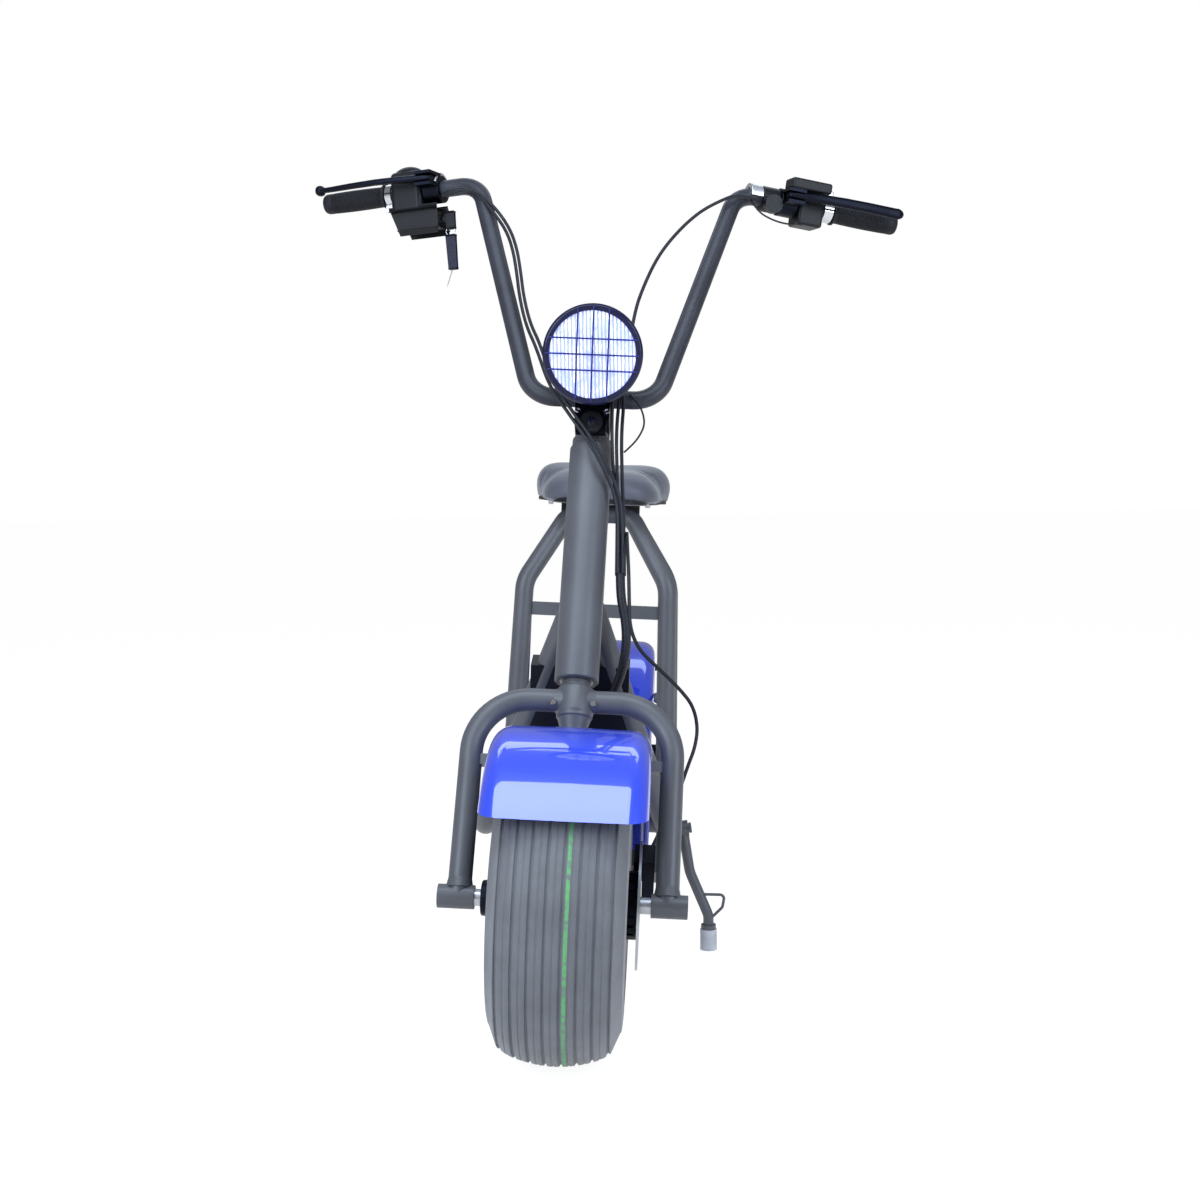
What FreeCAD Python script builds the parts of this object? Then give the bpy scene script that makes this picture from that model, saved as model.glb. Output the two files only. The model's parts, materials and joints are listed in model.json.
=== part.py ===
import FreeCAD, Part
import math
import os

# Fat-tyre electric scooter, millimetres.
# Upright scooter frame: X to its left, Y to its rear, Z up, ground under the front axle.
# Steering frame: origin on the front axle, X to the left, Y to the rear, Z up the steering axis.
# Every piece is modelled in one of those two frames, and the parked scooter then leans on its stand.

Vector = FreeCAD.Vector
Placement = FreeCAD.Placement
Rotation = FreeCAD.Rotation
ACROSS = Vector(1, 0, 0)
BACK = Vector(0, 1, 0)
UP = Vector(0, 0, 1)
SIDES = (("right", -1), ("left", 1))

os.makedirs("parts", exist_ok=True)
doc = FreeCAD.newDocument("scooter")
sizes = doc.addObject("Spreadsheet::Sheet", "Sizes")

# Driving dimensions: alias, value, meaning
DIMENSIONS = (
    ("wheelbase", 1225, "front axle to rear axle"),
    ("rake_angle", 27, "steering axis from vertical, degrees"),
    ("lean_angle", 3.04, "lean on the side stand, degrees"),
    ("tyre_dia", 450, "outer diameter of both tyres"),
    ("tyre_wide", 186, "width of both tyres"),
    ("tread_round", 170, "tread radius across the tyre"),
    ("tyre_shoulder", 57, "shoulder radius"),
    ("rim_dia", 203, "bead seat diameter"),
    ("rim_wide", 152, "bead to bead"),
    ("rim_wall", 7, "thickness of the rim barrel"),
    ("flange_high", 10, "rim flange above the bead seat"),
    ("axle_dia", 15, "both axles"),
    ("running_fit", 0.05, "radial clearance of a turning fit"),
    ("free_gap", 0.5, "axial clearance between turning faces"),
    ("seat_gap", 0.3, "clearance where curved faces meet"),
    ("disc_dia", 180, "brake disc"),
    ("disc_thick", 3.5, "brake disc thickness"),
    ("disc_place", 107.5, "brake disc middle plane from the wheel middle"),
    ("fork_tube", 34, "bent fork tube diameter"),
    ("leg_spacing", 294, "fork legs, centre to centre"),
    ("fork_high", 298.5, "axle to the cross run of the fork"),
    ("fork_bend", 83, "bend radius of the fork tube"),
    ("sleeve_long", 52, "axle sleeve length"),
    ("sleeve_inner", 124.5, "inner end of an axle sleeve from the middle"),
    ("stem_dia", 30, "steering stem"),
    ("root_dia", 40, "stem root through the fork cross run"),
    ("root_low", 276, "lower end of the stem root"),
    ("collar_dia", 43, "bearing collar under the head tube"),
    ("collar_high", 9, "bearing collar height"),
    ("head_dia", 66, "head tube outer diameter"),
    ("head_bore", 50, "head tube bore"),
    ("head_low", 328.5, "lower end of the head tube above the axle"),
    ("head_long", 388, "head tube length"),
    ("ring_high", 16, "bearing ring height"),
    ("cap_dia", 60, "collar on top of the head tube"),
    ("cap_high", 28, "its height"),
    ("bar_dia", 28.6, "handlebar tube"),
    ("bar_low", 796.6, "cross run of the handlebar above the axle"),
    ("bar_forward", 20, "cross run of the handlebar in front of the steering axis"),
    ("bar_root_half", 99.5, "half distance between the lower bends"),
    ("bar_top", 1210, "upper bends above the axle"),
    ("bar_top_half", 216, "half distance between the upper bends"),
    ("bar_end_half", 492, "half width over the bar ends"),
    ("bar_end_back", 100, "bar ends behind the steering axis"),
    ("bar_end_high", 1229, "bar ends above the axle"),
    ("bar_bend", 50, "bend radius of the handlebar"),
    ("grip_dia", 34, "hand grip"),
    ("grip_long", 120, "hand grip length"),
    ("clamp_wide", 54, "handlebar clamp width"),
    ("button_dia", 35, "round button on the front of the clamp"),
    ("button_high", 738, "its middle above the axle"),
    ("lamp_dia", 153, "headlamp bezel"),
    ("lamp_deep", 92, "headlamp depth"),
    ("lamp_back", 241, "headlamp face behind the front axle"),
    ("lamp_high", 1006, "headlamp middle above the ground"),
    ("lamp_droop", 6, "headlamp aim below level, degrees"),
    ("lens_dia", 132, "headlamp lens"),
    ("wire_pitch", 23.8, "spacing of the headlamp guard wires"),
    ("wire_dia", 2.6, "headlamp guard wire"),
    ("fender_gap", 21, "front mudguard outside above the tread"),
    ("rear_fender_gap", 25, "rear mudguard outside above the tread"),
    ("fender_wide", 226, "mudguard width"),
    ("fender_shift", 4, "front mudguard sits this far to the left"),
    ("fender_wall", 2.5, "mudguard thickness"),
    ("fender_round", 30, "mudguard shoulder radius"),
    ("fender_deep", 55, "mudguard flank depth"),
    ("fender_fore", 78, "front mudguard ahead of the steering axis, degrees"),
    ("fender_aft", 57, "front mudguard behind the steering axis, degrees"),
    ("rear_fender_fore", 88, "rear mudguard ahead of the top, degrees"),
    ("rear_fender_aft", 62, "rear mudguard behind the top, degrees"),
    ("rail_tube", 38, "cradle tube diameter"),
    ("rail_half", 151, "cradle rails, half spacing"),
    ("rail_high", 250, "cradle rails above the ground"),
    ("rail_front", 338, "lower bend of the cradle behind the front axle"),
    ("rail_bend", 75, "bend radius of the cradle"),
    ("cradle_top", 664, "height where the cradle tubes meet the head tube"),
    ("cradle_top_back", 224, "the same point behind the front axle"),
    ("cross_tube", 30, "cross tube diameter"),
    ("hoop_tube", 34, "front hoop diameter"),
    ("hoop_half", 130, "front hoop, half spacing of its shoulders"),
    ("hoop_back", 736, "front hoop shoulder behind the front axle"),
    ("rear_hoop_tube", 28, "rear hoop diameter"),
    ("rear_hoop_half", 136, "rear hoop, half spacing of its shoulders"),
    ("rear_hoop_back", 830, "rear hoop shoulder behind the front axle"),
    ("rear_hoop_foot", 1000, "rear hoop foot behind the front axle"),
    ("hoop_pitch", 67, "rear hoop cross run behind the front one"),
    ("hoop_shoulder", 627, "height of the hoop shoulder"),
    ("hoop_top", 752, "height of the hoop cross run"),
    ("hoop_top_half", 56, "half width of the hoop cross run"),
    ("hoop_top_back", 795, "hoop cross run behind the front axle"),
    ("plate_high", 577, "middle of the flat bar between the uprights"),
    ("plate_wide", 24, "its height"),
    ("deck_thick", 12, "footboard thickness"),
    ("deck_front", 398, "footboard front edge"),
    ("deck_rear", 860, "footboard rear edge"),
    ("deck_wide", 330, "footboard width"),
    ("battery_wide", 220, "battery case width"),
    ("battery_long", 385, "battery case length"),
    ("battery_deep", 105, "battery case height"),
    ("case_wide", 152, "controller case width before coping"),
    ("case_deep", 44, "controller case depth"),
    ("case_high", 150, "controller case height"),
    ("case_low", 390, "controller case above the ground"),
    ("cable_dia", 5.5, "control cables and brake hose"),
    ("thin_cable_dia", 3, "thin switch wires"),
    ("sheath_dia", 15, "wiring sheath beside the head tube"),
    ("wiring_joint", 505, "where the bar's wiring meets the frame's, above the axle"),
    ("saddle_wide", 270, "saddle width"),
    ("saddle_nose", 170, "saddle nose width"),
    ("saddle_long", 320, "saddle length"),
    ("saddle_high", 74, "saddle thickness"),
    ("saddle_front", 690, "saddle nose behind the front axle"),
    ("dropout_thick", 8, "rear axle plate"),
    ("stand_dia", 18, "side stand leg"),
    ("stand_back", 563, "side stand behind the front axle"),
    ("stand_foot", 229, "side stand foot from the middle"),
    ("stand_ahead", 18, "side stand foot ahead of its pivot"),
    ("stand_knee", 190, "side stand bend from the middle"),
    ("stand_pivot", 175, "side stand pivot from the middle"),
    ("stand_drop", 32, "side stand pivot below the rail middle"),
    ("stand_eye", 19, "width of the side stand eye"),
    ("stand_tilt", 11, "tilt of the side stand pivot, degrees"),
    ("foot_dia", 29, "side stand foot"),
)
for row, (alias, value, meaning) in enumerate(DIMENSIONS, start=1):
    sizes.set("A%d" % row, meaning)
    sizes.set("B%d" % row, str(value))
    sizes.setAlias("B%d" % row, alias)
doc.recompute()


def size(alias):
    return float(sizes.get(alias))


RADIUS = size("tyre_dia") / 2
AXLE = size("axle_dia") / 2
HEAD_TOP = size("head_low") + size("head_long")
COLLAR_TOP = size("head_low") - size("free_gap")
CAP_LOW = HEAD_TOP + size("free_gap")
CAP_TOP = CAP_LOW + size("cap_high")
CALIPER_OUT = size("disc_place") + 20
RAIL_TOP = size("rail_high") + size("rail_tube") / 2
CROSS_TOP = size("rail_high") + size("cross_tube") / 2
DECK_TOP = CROSS_TOP + size("deck_thick")
SADDLE_LOW = size("hoop_top") + size("hoop_tube") / 2 + 4

STEERING = Placement(Vector(0, 0, RADIUS), Rotation(ACROSS, -size("rake_angle")))
UPRIGHT = Placement()
REAR_AXLE = Placement(Vector(0, size("wheelbase"), RADIUS), Rotation())

NODES = []


# Building helpers

def keep(piece, frame, label=None):
    """Registers a finished sub-part with the frame that it is modelled in."""
    piece.Label = label or piece.Name
    NODES.append((piece, frame))
    return piece


def steering_point(point):
    """A point of the upright scooter, told in the steering frame."""
    return STEERING.inverse().multVec(point)


def path(corners):
    """Straight runs joined by tangent arcs; a corner is (point, bend radius)."""
    edges = []
    start = corners[0][0]
    for index in range(1, len(corners) - 1):
        point, bend = corners[index]
        before = (corners[index - 1][0] - point).normalize()
        after = (corners[index + 1][0] - point).normalize()
        half = before.getAngle(after) / 2
        inset = bend / math.tan(half)
        first = point + before * inset
        last = point + after * inset
        middle = (before + after).normalize()
        crest = point + middle * (bend / math.sin(half) - bend)
        if (first - start).Length > 1e-4:
            edges.append(Part.LineSegment(start, first))
        edges.append(Part.Arc(first, crest, last))
        start = last
    if (corners[-1][0] - start).Length > 1e-4:
        edges.append(Part.LineSegment(start, corners[-1][0]))
    return edges


def outline(corners):
    """Closed outline of straight runs and rounded corners; a corner is (x, y, radius).

    A negative radius is a flat crown instead, reaching that far along both runs."""
    edges = []
    count = len(corners)
    ends = []
    for index in range(count):
        x, y, bend = corners[index]
        point = Vector(x, y, 0)
        if bend == 0:
            ends.append((point, None, point))
            continue
        last_x, last_y, _ = corners[index - 1]
        next_x, next_y, _ = corners[(index + 1) % count]
        before = (Vector(last_x, last_y, 0) - point).normalize()
        after = (Vector(next_x, next_y, 0) - point).normalize()
        if bend < 0:
            first = point - before * bend
            last = point - after * bend
            crown = Part.BezierCurve()
            crown.setPoles([first, point, last])
            ends.append((first, crown.toBSpline(), last))
            continue
        half = before.getAngle(after) / 2
        inset = bend / math.tan(half)
        middle = (before + after).normalize()
        crest = point + middle * (bend / math.sin(half) - bend)
        first = point + before * inset
        last = point + after * inset
        ends.append((first, Part.Arc(first, crest, last), last))
    for index in range(count):
        first, curve, last = ends[index]
        if curve is not None:
            edges.append(curve)
        following = ends[(index + 1) % count][0]
        if (following - last).Length > 1e-4:
            edges.append(Part.LineSegment(last, following))
    return edges


def origin_plane(body, role):
    for feature in body.Origin.OriginFeatures:
        if feature.Role == role:
            return feature
    raise ValueError(role)


def sketch_on(body, role, edges, name):
    sketch = body.newObject("Sketcher::SketchObject", name)
    sketch.AttachmentSupport = [(origin_plane(body, role), "")]
    sketch.MapMode = "FlatFace"
    sketch.addGeometry(edges, False)
    return sketch


def turned(name, corners, role="XY_Plane", axis="H_Axis", angle=360):
    """A body turned from a closed outline about an axis of its sketch."""
    body = doc.addObject("PartDesign::Body", name)
    sketch = sketch_on(body, role, outline(corners), name + "_section")
    turn = body.newObject("PartDesign::Revolution", name + "_turn")
    turn.Profile = sketch
    turn.ReferenceAxis = (sketch, [axis])
    turn.Angle = angle
    sketch.Visibility = False
    body.Tip = turn
    return body


def padded(name, corners, length, role="XY_Plane", midplane=False):
    """A body padded from a closed outline; length is an expression on the sheet."""
    body = doc.addObject("PartDesign::Body", name)
    sketch = sketch_on(body, role, outline(corners), name + "_outline")
    pad = body.newObject("PartDesign::Pad", name + "_pad")
    pad.Profile = sketch
    pad.Length = 1
    pad.setExpression("Length", length)
    if midplane:
        pad.SideType = "Symmetric"
    body.Tip = pad
    return body


def rod(name, radius, length, base, along):
    """A cylinder; radius and length are expressions on the sheet."""
    item = doc.addObject("Part::Cylinder", name)
    item.setExpression("Radius", radius)
    item.setExpression("Height", length)
    item.Placement = Placement(base, Rotation(UP, along))
    return item


def rod_between(name, radius, first, last):
    item = doc.addObject("Part::Cylinder", name)
    item.setExpression("Radius", radius)
    item.Height = (last - first).Length
    item.Placement = Placement(first, Rotation(UP, last - first))
    return item


def cone(name, first_radius, last_radius, first, last):
    item = doc.addObject("Part::Cone", name)
    item.Radius1 = first_radius
    item.Radius2 = last_radius
    item.Height = (last - first).Length
    item.Placement = Placement(first, Rotation(UP, last - first))
    return item


def block(name, low, high):
    item = doc.addObject("Part::Box", name)
    item.Length = high.x - low.x
    item.Width = high.y - low.y
    item.Height = high.z - low.z
    item.Placement = Placement(low, Rotation())
    return item


def prism(name, across_corners, length, base, along):
    item = doc.addObject("Part::Prism", name)
    item.Polygon = 6
    item.Circumradius = across_corners / 2
    item.Height = length
    item.Placement = Placement(base, Rotation(UP, along))
    return item


def bent_tube(name, radius, corners):
    """A round tube along a bent path; radius is an expression on the sheet."""
    spine = doc.addObject("Part::Feature", name + "_path")
    wire = Part.Wire([edge.toShape() for edge in path(corners)])
    spine.Shape = wire
    section = doc.addObject("Part::Circle", name + "_section")
    section.setExpression("Radius", radius)
    heading = corners[1][0] - corners[0][0]
    section.Placement = Placement(corners[0][0], Rotation(UP, heading))
    sweep = doc.addObject("Part::Sweep", name)
    sweep.Sections = [section]
    sweep.Spine = (spine, ["Edge%d" % (n + 1) for n in range(len(wire.Edges))])
    sweep.Solid = True
    sweep.Frenet = False
    return sweep


def cable(name, diameter, points):
    """A cable: each bend is as large as the shorter of its two runs allows."""
    corners = [(points[0], 0)]
    bends = []
    for index in range(1, len(points) - 1):
        before = points[index - 1] - points[index]
        after = points[index + 1] - points[index]
        half = before.getAngle(after) / 2
        bend = 0.45 * min(before.Length, after.Length) * math.tan(half)
        bends.append(bend)
        corners.append((points[index], bend))
    corners.append((points[-1], 0))
    spine = Part.Wire([edge.toShape() for edge in path(corners)])
    heading = points[1] - points[0]
    ring = Part.Wire([Part.Circle(points[0], heading, diameter / 2).toShape()])
    piece = doc.addObject("Part::Feature", name)
    piece.Shape = spine.makePipeShell([ring], True, False)
    share = piece.Shape.Volume / (math.pi * diameter * diameter / 4 * spine.Length)
    print(name, "bend radii", [round(bend) for bend in bends], "length", round(spine.Length), "volume share", round(share, 4))
    return piece


def fused(name, pieces):
    item = doc.addObject("Part::MultiFuse", name)
    item.Shapes = pieces
    return item


def cut(name, base, tool):
    item = doc.addObject("Part::Cut", name)
    item.Base = base
    item.Tool = tool
    return item


def grouped(name, pieces):
    """Like pieces of one body that don't touch, kept as one sub-part."""
    item = doc.addObject("Part::Compound", name)
    item.Links = pieces
    return item


# Wheels

def tyre(name):
    half = size("tyre_wide") / 2
    bead = size("rim_dia") / 2
    seat = size("rim_wide") / 2
    shoulder = size("tyre_shoulder")
    crown = size("tread_round")
    wall = 11
    above_flange = bead + size("flange_high") + 1
    edge = RADIUS - crown + math.sqrt(crown * crown - half * half) - 3
    seated = bead + size("running_fit")
    tread = []
    for share in (-0.6, -0.3, 0, 0.3, 0.6):
        across = share * half
        tread.append((across, RADIUS - crown + math.sqrt(crown * crown - across * across), 0))
    outside = (
        [(-seat, seated, 0), (-seat, above_flange, 0), (-half, above_flange + 16, 18), (-half, edge, shoulder)]
        + tread
        + [(half, edge, shoulder), (half, above_flange + 16, 18), (seat, above_flange, 0), (seat, seated, 0)]
    )
    inside = [
        (seat - 13, seated, 0),
        (seat - 13, above_flange + 4, 10),
        (half - wall, above_flange + 22, 12),
        (half - wall, edge - wall, shoulder - wall),
        (0.3 * half, RADIUS - wall - 2, 0),
        (-0.3 * half, RADIUS - wall - 2, 0),
        (-half + wall, edge - wall, shoulder - wall),
        (-half + wall, above_flange + 22, 12),
        (-seat + 13, above_flange + 4, 10),
        (-seat + 13, seated, 0),
    ]
    return turned(name, outside + inside)


def front_rim():
    bead = size("rim_dia") / 2
    seat = size("rim_wide") / 2
    flange = bead + size("flange_high")
    lip = seat + 6
    inner = bead - size("rim_wall")
    bore = AXLE + size("running_fit")
    hub_left = size("disc_place") - size("disc_thick") / 2 - 2
    corners = (
        (-lip, flange, 0),
        (-lip, inner, 0),
        (-seat, inner, 0),
        (-10, inner - 3, 4),
        (-8, 34, 4),
        (-60, 28, 6),
        (-114.5, 25, 3),
        (-114.5, bore, 0),
        (hub_left, bore, 0),
        (hub_left, 28, 0),
        (84, 28, 0),
        (84, 37, 0),
        (8, 34, 4),
        (10, inner - 3, 4),
        (seat, inner, 0),
        (lip, inner, 0),
        (lip, flange, 0),
        (seat, flange, 0),
        (seat, bead, 0),
        (-seat, bead, 0),
        (-seat, flange, 0),
    )
    rim = turned("front_rim_turned", corners)
    holes = []
    for index in range(6):
        angle = math.radians(60 * index)
        centre = Vector(-30, 63 * math.cos(angle), 63 * math.sin(angle))
        hole = doc.addObject("Part::Cylinder", "front_rim_hole%d" % index)
        hole.Radius = 17
        hole.Height = 60
        hole.Placement = Placement(centre, Rotation(UP, ACROSS))
        holes.append(hole)
    return cut("front_rim", rim, fused("front_rim_holes", holes))


def disc_carrier(name):
    """The finned carrier that the brake disc is bolted to."""
    outer = 48
    low = 84
    high = size("disc_place") - size("disc_thick") / 2
    ring = turned(
        name + "_ring",
        (
            (low, 28 + size("seat_gap"), 0),
            (low, outer - 4, 2),
            (low + 4, outer, 2),
            (high, outer, 0),
            (high, 28 + size("seat_gap"), 0),
        ),
    )
    fins = []
    for index in range(18):
        fin = doc.addObject("Part::Box", "%s_slot%d" % (name, index))
        fin.Length = high - low - 8
        fin.Width = 5
        fin.Height = 6
        turn = Rotation(ACROSS, 20 * index)
        fin.Placement = Placement(turn.multVec(Vector(low + 4, -2.5, outer - 3)), turn)
        fins.append(fin)
    return cut(name, ring, fused(name + "_slots", fins))


def brake_disc(name):
    half = size("disc_thick") / 2
    place = size("disc_place")
    outer = size("disc_dia") / 2
    ring = turned(
        name + "_ring",
        ((place - half, 27, 0), (place - half, outer, 0), (place + half, outer, 0), (place + half, 27, 0)),
    )
    holes = []
    for index in range(12):
        angle = math.radians(30 * index)
        reach = 64 if index % 2 else 74
        hole = doc.addObject("Part::Cylinder", "%s_hole%d" % (name, index))
        hole.Radius = 5
        hole.Height = 20
        centre = Vector(place - 10, reach * math.cos(angle), reach * math.sin(angle))
        hole.Placement = Placement(centre, Rotation(UP, ACROSS))
        holes.append(hole)
    return cut(name, ring, fused(name + "_holes", holes))


def rear_rim():
    bead = size("rim_dia") / 2
    seat = size("rim_wide") / 2
    flange = bead + size("flange_high")
    lip = seat + 6
    inner = bead - size("rim_wall")
    corners = (
        (-lip, flange, 0),
        (-lip, inner, 0),
        (lip, inner, 0),
        (lip, flange, 0),
        (seat, flange, 0),
        (seat, bead, 0),
        (-seat, bead, 0),
        (-seat, flange, 0),
    )
    return turned("rear_rim", corners)


def hub_motor():
    """Drum of the motor that fills the rear rim, with domed side covers."""
    inner = size("rim_dia") / 2 - size("rim_wall") - size("running_fit")
    bore = AXLE + size("running_fit")
    hub_left = size("disc_place") - size("disc_thick") / 2 - 2
    corners = (
        (-60, inner, 0),
        (-66, inner - 8, 4),
        (-66, 62, 6),
        (-80, 44, 8),
        (-84, 26, 4),
        (-114.5, 24, 3),
        (-114.5, bore, 0),
        (hub_left, bore, 0),
        (hub_left, 28, 0),
        (84, 28, 0),
        (84, 44, 4),
        (66, 62, 6),
        (66, inner - 8, 4),
        (60, inner, 0),
    )
    return turned("hub_motor", corners)


def axle(name, half_long, seat_half, spacer_left, spacer_right, nuts=True):
    """Axle, the two spacers beside the hub and, outside its seats, the end nuts."""
    shaft = rod(name + "_shaft", "Sizes.axle_dia / 2", "%g" % (2 * half_long), Vector(-half_long, 0, 0), ACROSS)
    pieces = [shaft]
    for label, side in SIDES if nuts else ():
        nut = prism(name + "_nut_" + label, 26, 9, Vector(side * seat_half, 0, 0), ACROSS * side)
        pieces.append(nut)
    for label, low, high, radius in spacer_left + spacer_right:
        spacer = doc.addObject("Part::Cylinder", "%s_spacer_%s" % (name, label))
        spacer.Radius = radius
        spacer.Height = high - low
        spacer.Placement = Placement(Vector(low, 0, 0), Rotation(UP, ACROSS))
        pieces.append(spacer)
    return fused(name, pieces)


# Fork and steering

def fork():
    half = size("leg_spacing") / 2
    high = size("fork_high")
    bend = size("fork_bend")
    tube_radius = size("fork_tube") / 2
    corners = (
        (Vector(-half, 0, 0), 0),
        (Vector(-half, 0, high), bend),
        (Vector(half, 0, high), bend),
        (Vector(half, 0, 0), 0),
    )
    pieces = [bent_tube("fork_arch", "Sizes.fork_tube / 2", corners)]
    for label, side in SIDES:
        base = Vector(side * size("sleeve_inner"), 0, 0)
        pieces.append(rod("fork_sleeve_" + label, "Sizes.fork_tube / 2", "Sizes.sleeve_long", base, ACROSS * side))
        foot = Vector(side * half, 0, tube_radius - 5)
        pieces.append(cone("fork_weld_" + label, tube_radius + 3, tube_radius, foot, foot + UP * 14))
        root = Vector(side * (size("root_dia") / 2 - 5), 0, high)
        pieces.append(cone("fork_cross_weld_" + label, tube_radius + 4, tube_radius, root, root + ACROSS * side * 16))
        flank = size("fender_wide") / 2 + side * size("fender_shift")
        tab_low = Vector(min(side * flank, side * (half - 8)), -8, 194)
        pieces.append(block("fork_fender_tab_" + label, tab_low, tab_low + Vector(half - 8 - flank, 16, 16)))
    tab_low = Vector(CALIPER_OUT, 0, 48)
    pieces.append(block("fork_caliper_tab", tab_low, tab_low + Vector(6, 62, 58)))
    fender_top = RADIUS + size("fender_gap") + size("seat_gap")
    boss_low = Vector(0, 0, fender_top)
    boss_high = Vector(0, 0, size("root_low") + 4)
    pieces.append(cone("fork_fender_boss", 17, 28, boss_low, boss_high))
    root_low = Vector(0, 0, size("root_low"))
    collar_low = COLLAR_TOP - size("collar_high")
    pieces.append(rod("fork_root", "Sizes.root_dia / 2", "%g" % (collar_low - size("root_low")), root_low, UP))
    pieces.append(rod("fork_collar", "Sizes.collar_dia / 2", "Sizes.collar_high", Vector(0, 0, collar_low), UP))
    stem_top = size("bar_low") - 22
    pieces.append(rod("fork_stem", "Sizes.stem_dia / 2", "%g" % (stem_top - COLLAR_TOP), Vector(0, 0, COLLAR_TOP), UP))
    whole = fused("fork_whole", pieces)
    bore = rod("fork_axle_bore", "Sizes.axle_dia / 2 + Sizes.running_fit", "500", Vector(-250, 0, 0), ACROSS)
    return cut("fork", whole, bore)


def head_tube():
    outer = size("head_dia") / 2
    bore = size("head_bore") / 2
    low = size("head_low")
    corners = (
        (bore, low, 0),
        (outer - 1.5, low, 0),
        (outer, low + 1.5, 0),
        (outer, HEAD_TOP - 1.5, 0),
        (outer - 1.5, HEAD_TOP, 0),
        (bore, HEAD_TOP, 0),
    )
    return turned("head_tube", corners, "XZ_Plane", "V_Axis")


def head_rings():
    rings = []
    bore = size("stem_dia") / 2 + size("running_fit")
    outer = size("head_bore") / 2 - size("running_fit")
    for label, low in (("lower", size("head_low")), ("upper", HEAD_TOP - size("ring_high"))):
        high = low + size("ring_high")
        ring = turned(
            "head_ring_" + label,
            ((bore, low, 0), (outer, low, 0), (outer, high, 0), (bore, high, 0)),
            "XZ_Plane",
            "V_Axis",
        )
        rings.append(ring)
    return grouped("head_rings", rings)


def stem_cap():
    bore = size("stem_dia") / 2 + size("running_fit")
    outer = size("cap_dia") / 2
    corners = (
        (bore, CAP_LOW, 0),
        (outer - 1, CAP_LOW, 0),
        (outer, CAP_LOW + 1, 0),
        (outer, CAP_LOW + 14, 0),
        (outer - 4, CAP_LOW + 16, 0),
        (outer - 4, CAP_TOP - 3, 0),
        (outer - 8, CAP_TOP, 0),
        (bore, CAP_TOP, 0),
    )
    return turned("stem_cap", corners, "XZ_Plane", "V_Axis")


def handlebar():
    low = size("bar_low")
    forward = -size("bar_forward")
    bend = size("bar_bend")
    corners = [(bar_end(-1), 0), (bar_corner(-1), bend)]
    corners.append((Vector(-size("bar_root_half"), forward, low), bend))
    corners.append((Vector(size("bar_root_half"), forward, low), bend))
    corners.append((bar_corner(1), bend))
    corners.append((bar_end(1), 0))
    return bent_tube("handlebar", "Sizes.bar_dia / 2", corners)


def bar_corner(side):
    return Vector(side * size("bar_top_half"), 0, size("bar_top"))


def bar_end(side):
    return Vector(side * size("bar_end_half"), size("bar_end_back"), size("bar_end_high"))


def bar_place(side, out, back=0, up=0):
    """Frame on the bar: X to the left along it, Y back, Z up, placed out from the upper bend."""
    along = (bar_end(side) - bar_corner(side)).normalize()
    level = STEERING.Rotation.inverted().multVec(UP)
    x_axis = along * side
    z_axis = (level - x_axis * level.dot(x_axis)).normalize()
    y_axis = z_axis.cross(x_axis)
    turn = Rotation(x_axis, y_axis, z_axis, "XZY")
    base = bar_corner(side) + along * out + y_axis * back + z_axis * up
    return Placement(base, turn)


def bar_length():
    return (bar_end(1) - bar_corner(1)).Length


def grip(label, side):
    outer = size("grip_dia") / 2
    bore = size("bar_dia") / 2 + size("running_fit")
    length = size("grip_long")
    start = bar_length() - length
    corners = (
        (0, bore, 0),
        (0, outer + 4, 1.5),
        (5, outer + 4, 1.5),
        (7, outer, 1),
        (length * 0.5, outer + 1, 0),
        (length + 2, outer, 8),
        (length + 2, 0, 0),
        (length, 0, 0),
        (length, bore, 0),
    )
    if side < 0:
        corners = tuple((-x, y, bend) for x, y, bend in corners)
    piece = turned("grip_" + label, corners)
    piece.Placement = bar_place(side, start)
    return piece


def ring_on_bar(name, side, start, length, outer, inner=None):
    """A ring around the bar, outwards from start."""
    bore = size("bar_dia") / 2 + size("running_fit") if inner is None else inner
    corners = ((0, bore, 0), (0, outer - 1, 0), (1, outer, 0), (length - 1, outer, 0), (length, outer - 1, 0), (length, bore, 0))
    if side < 0:
        corners = tuple((-x, y, bend) for x, y, bend in corners)
    piece = turned(name, corners)
    piece.Placement = bar_place(side, start)
    return piece


def handlebar_clamp():
    """Riser block on the stem with the cap that holds the bar."""
    half = size("clamp_wide") / 2
    split = size("bar_low")
    forward = -size("bar_forward")
    stem_top = split - 22
    body = block("clamp_body_blank", Vector(-half, forward - 26, CAP_TOP), Vector(half, 24, split - 1))
    cap = block("clamp_cap_blank", Vector(-half, forward - 26, split + 1), Vector(half, forward + 26, split + 24))
    bar_bore = rod("clamp_bar_bore", "Sizes.bar_dia / 2 + Sizes.running_fit", "200", Vector(-100, forward, split), ACROSS)
    stem_bore = rod("clamp_stem_bore", "Sizes.stem_dia / 2 + Sizes.running_fit", "%g" % (stem_top - CAP_TOP), Vector(0, 0, CAP_TOP), UP)
    apron_low = Vector(-half + 4, forward - 26, size("button_high") - 16)
    apron = block("clamp_apron", apron_low, Vector(half - 4, forward - 18, CAP_TOP + 4))
    body_cut = cut("clamp_body", fused("clamp_body_whole", [body, apron]), fused("clamp_bores", [bar_bore, stem_bore]))
    cap_bore = rod("clamp_cap_bore", "Sizes.bar_dia / 2 + Sizes.running_fit", "200", Vector(-100, forward, split), ACROSS)
    cap_cut = cut("clamp_cap", cap, cap_bore)
    return grouped("handlebar_clamp", [body_cut, cap_cut])


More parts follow.
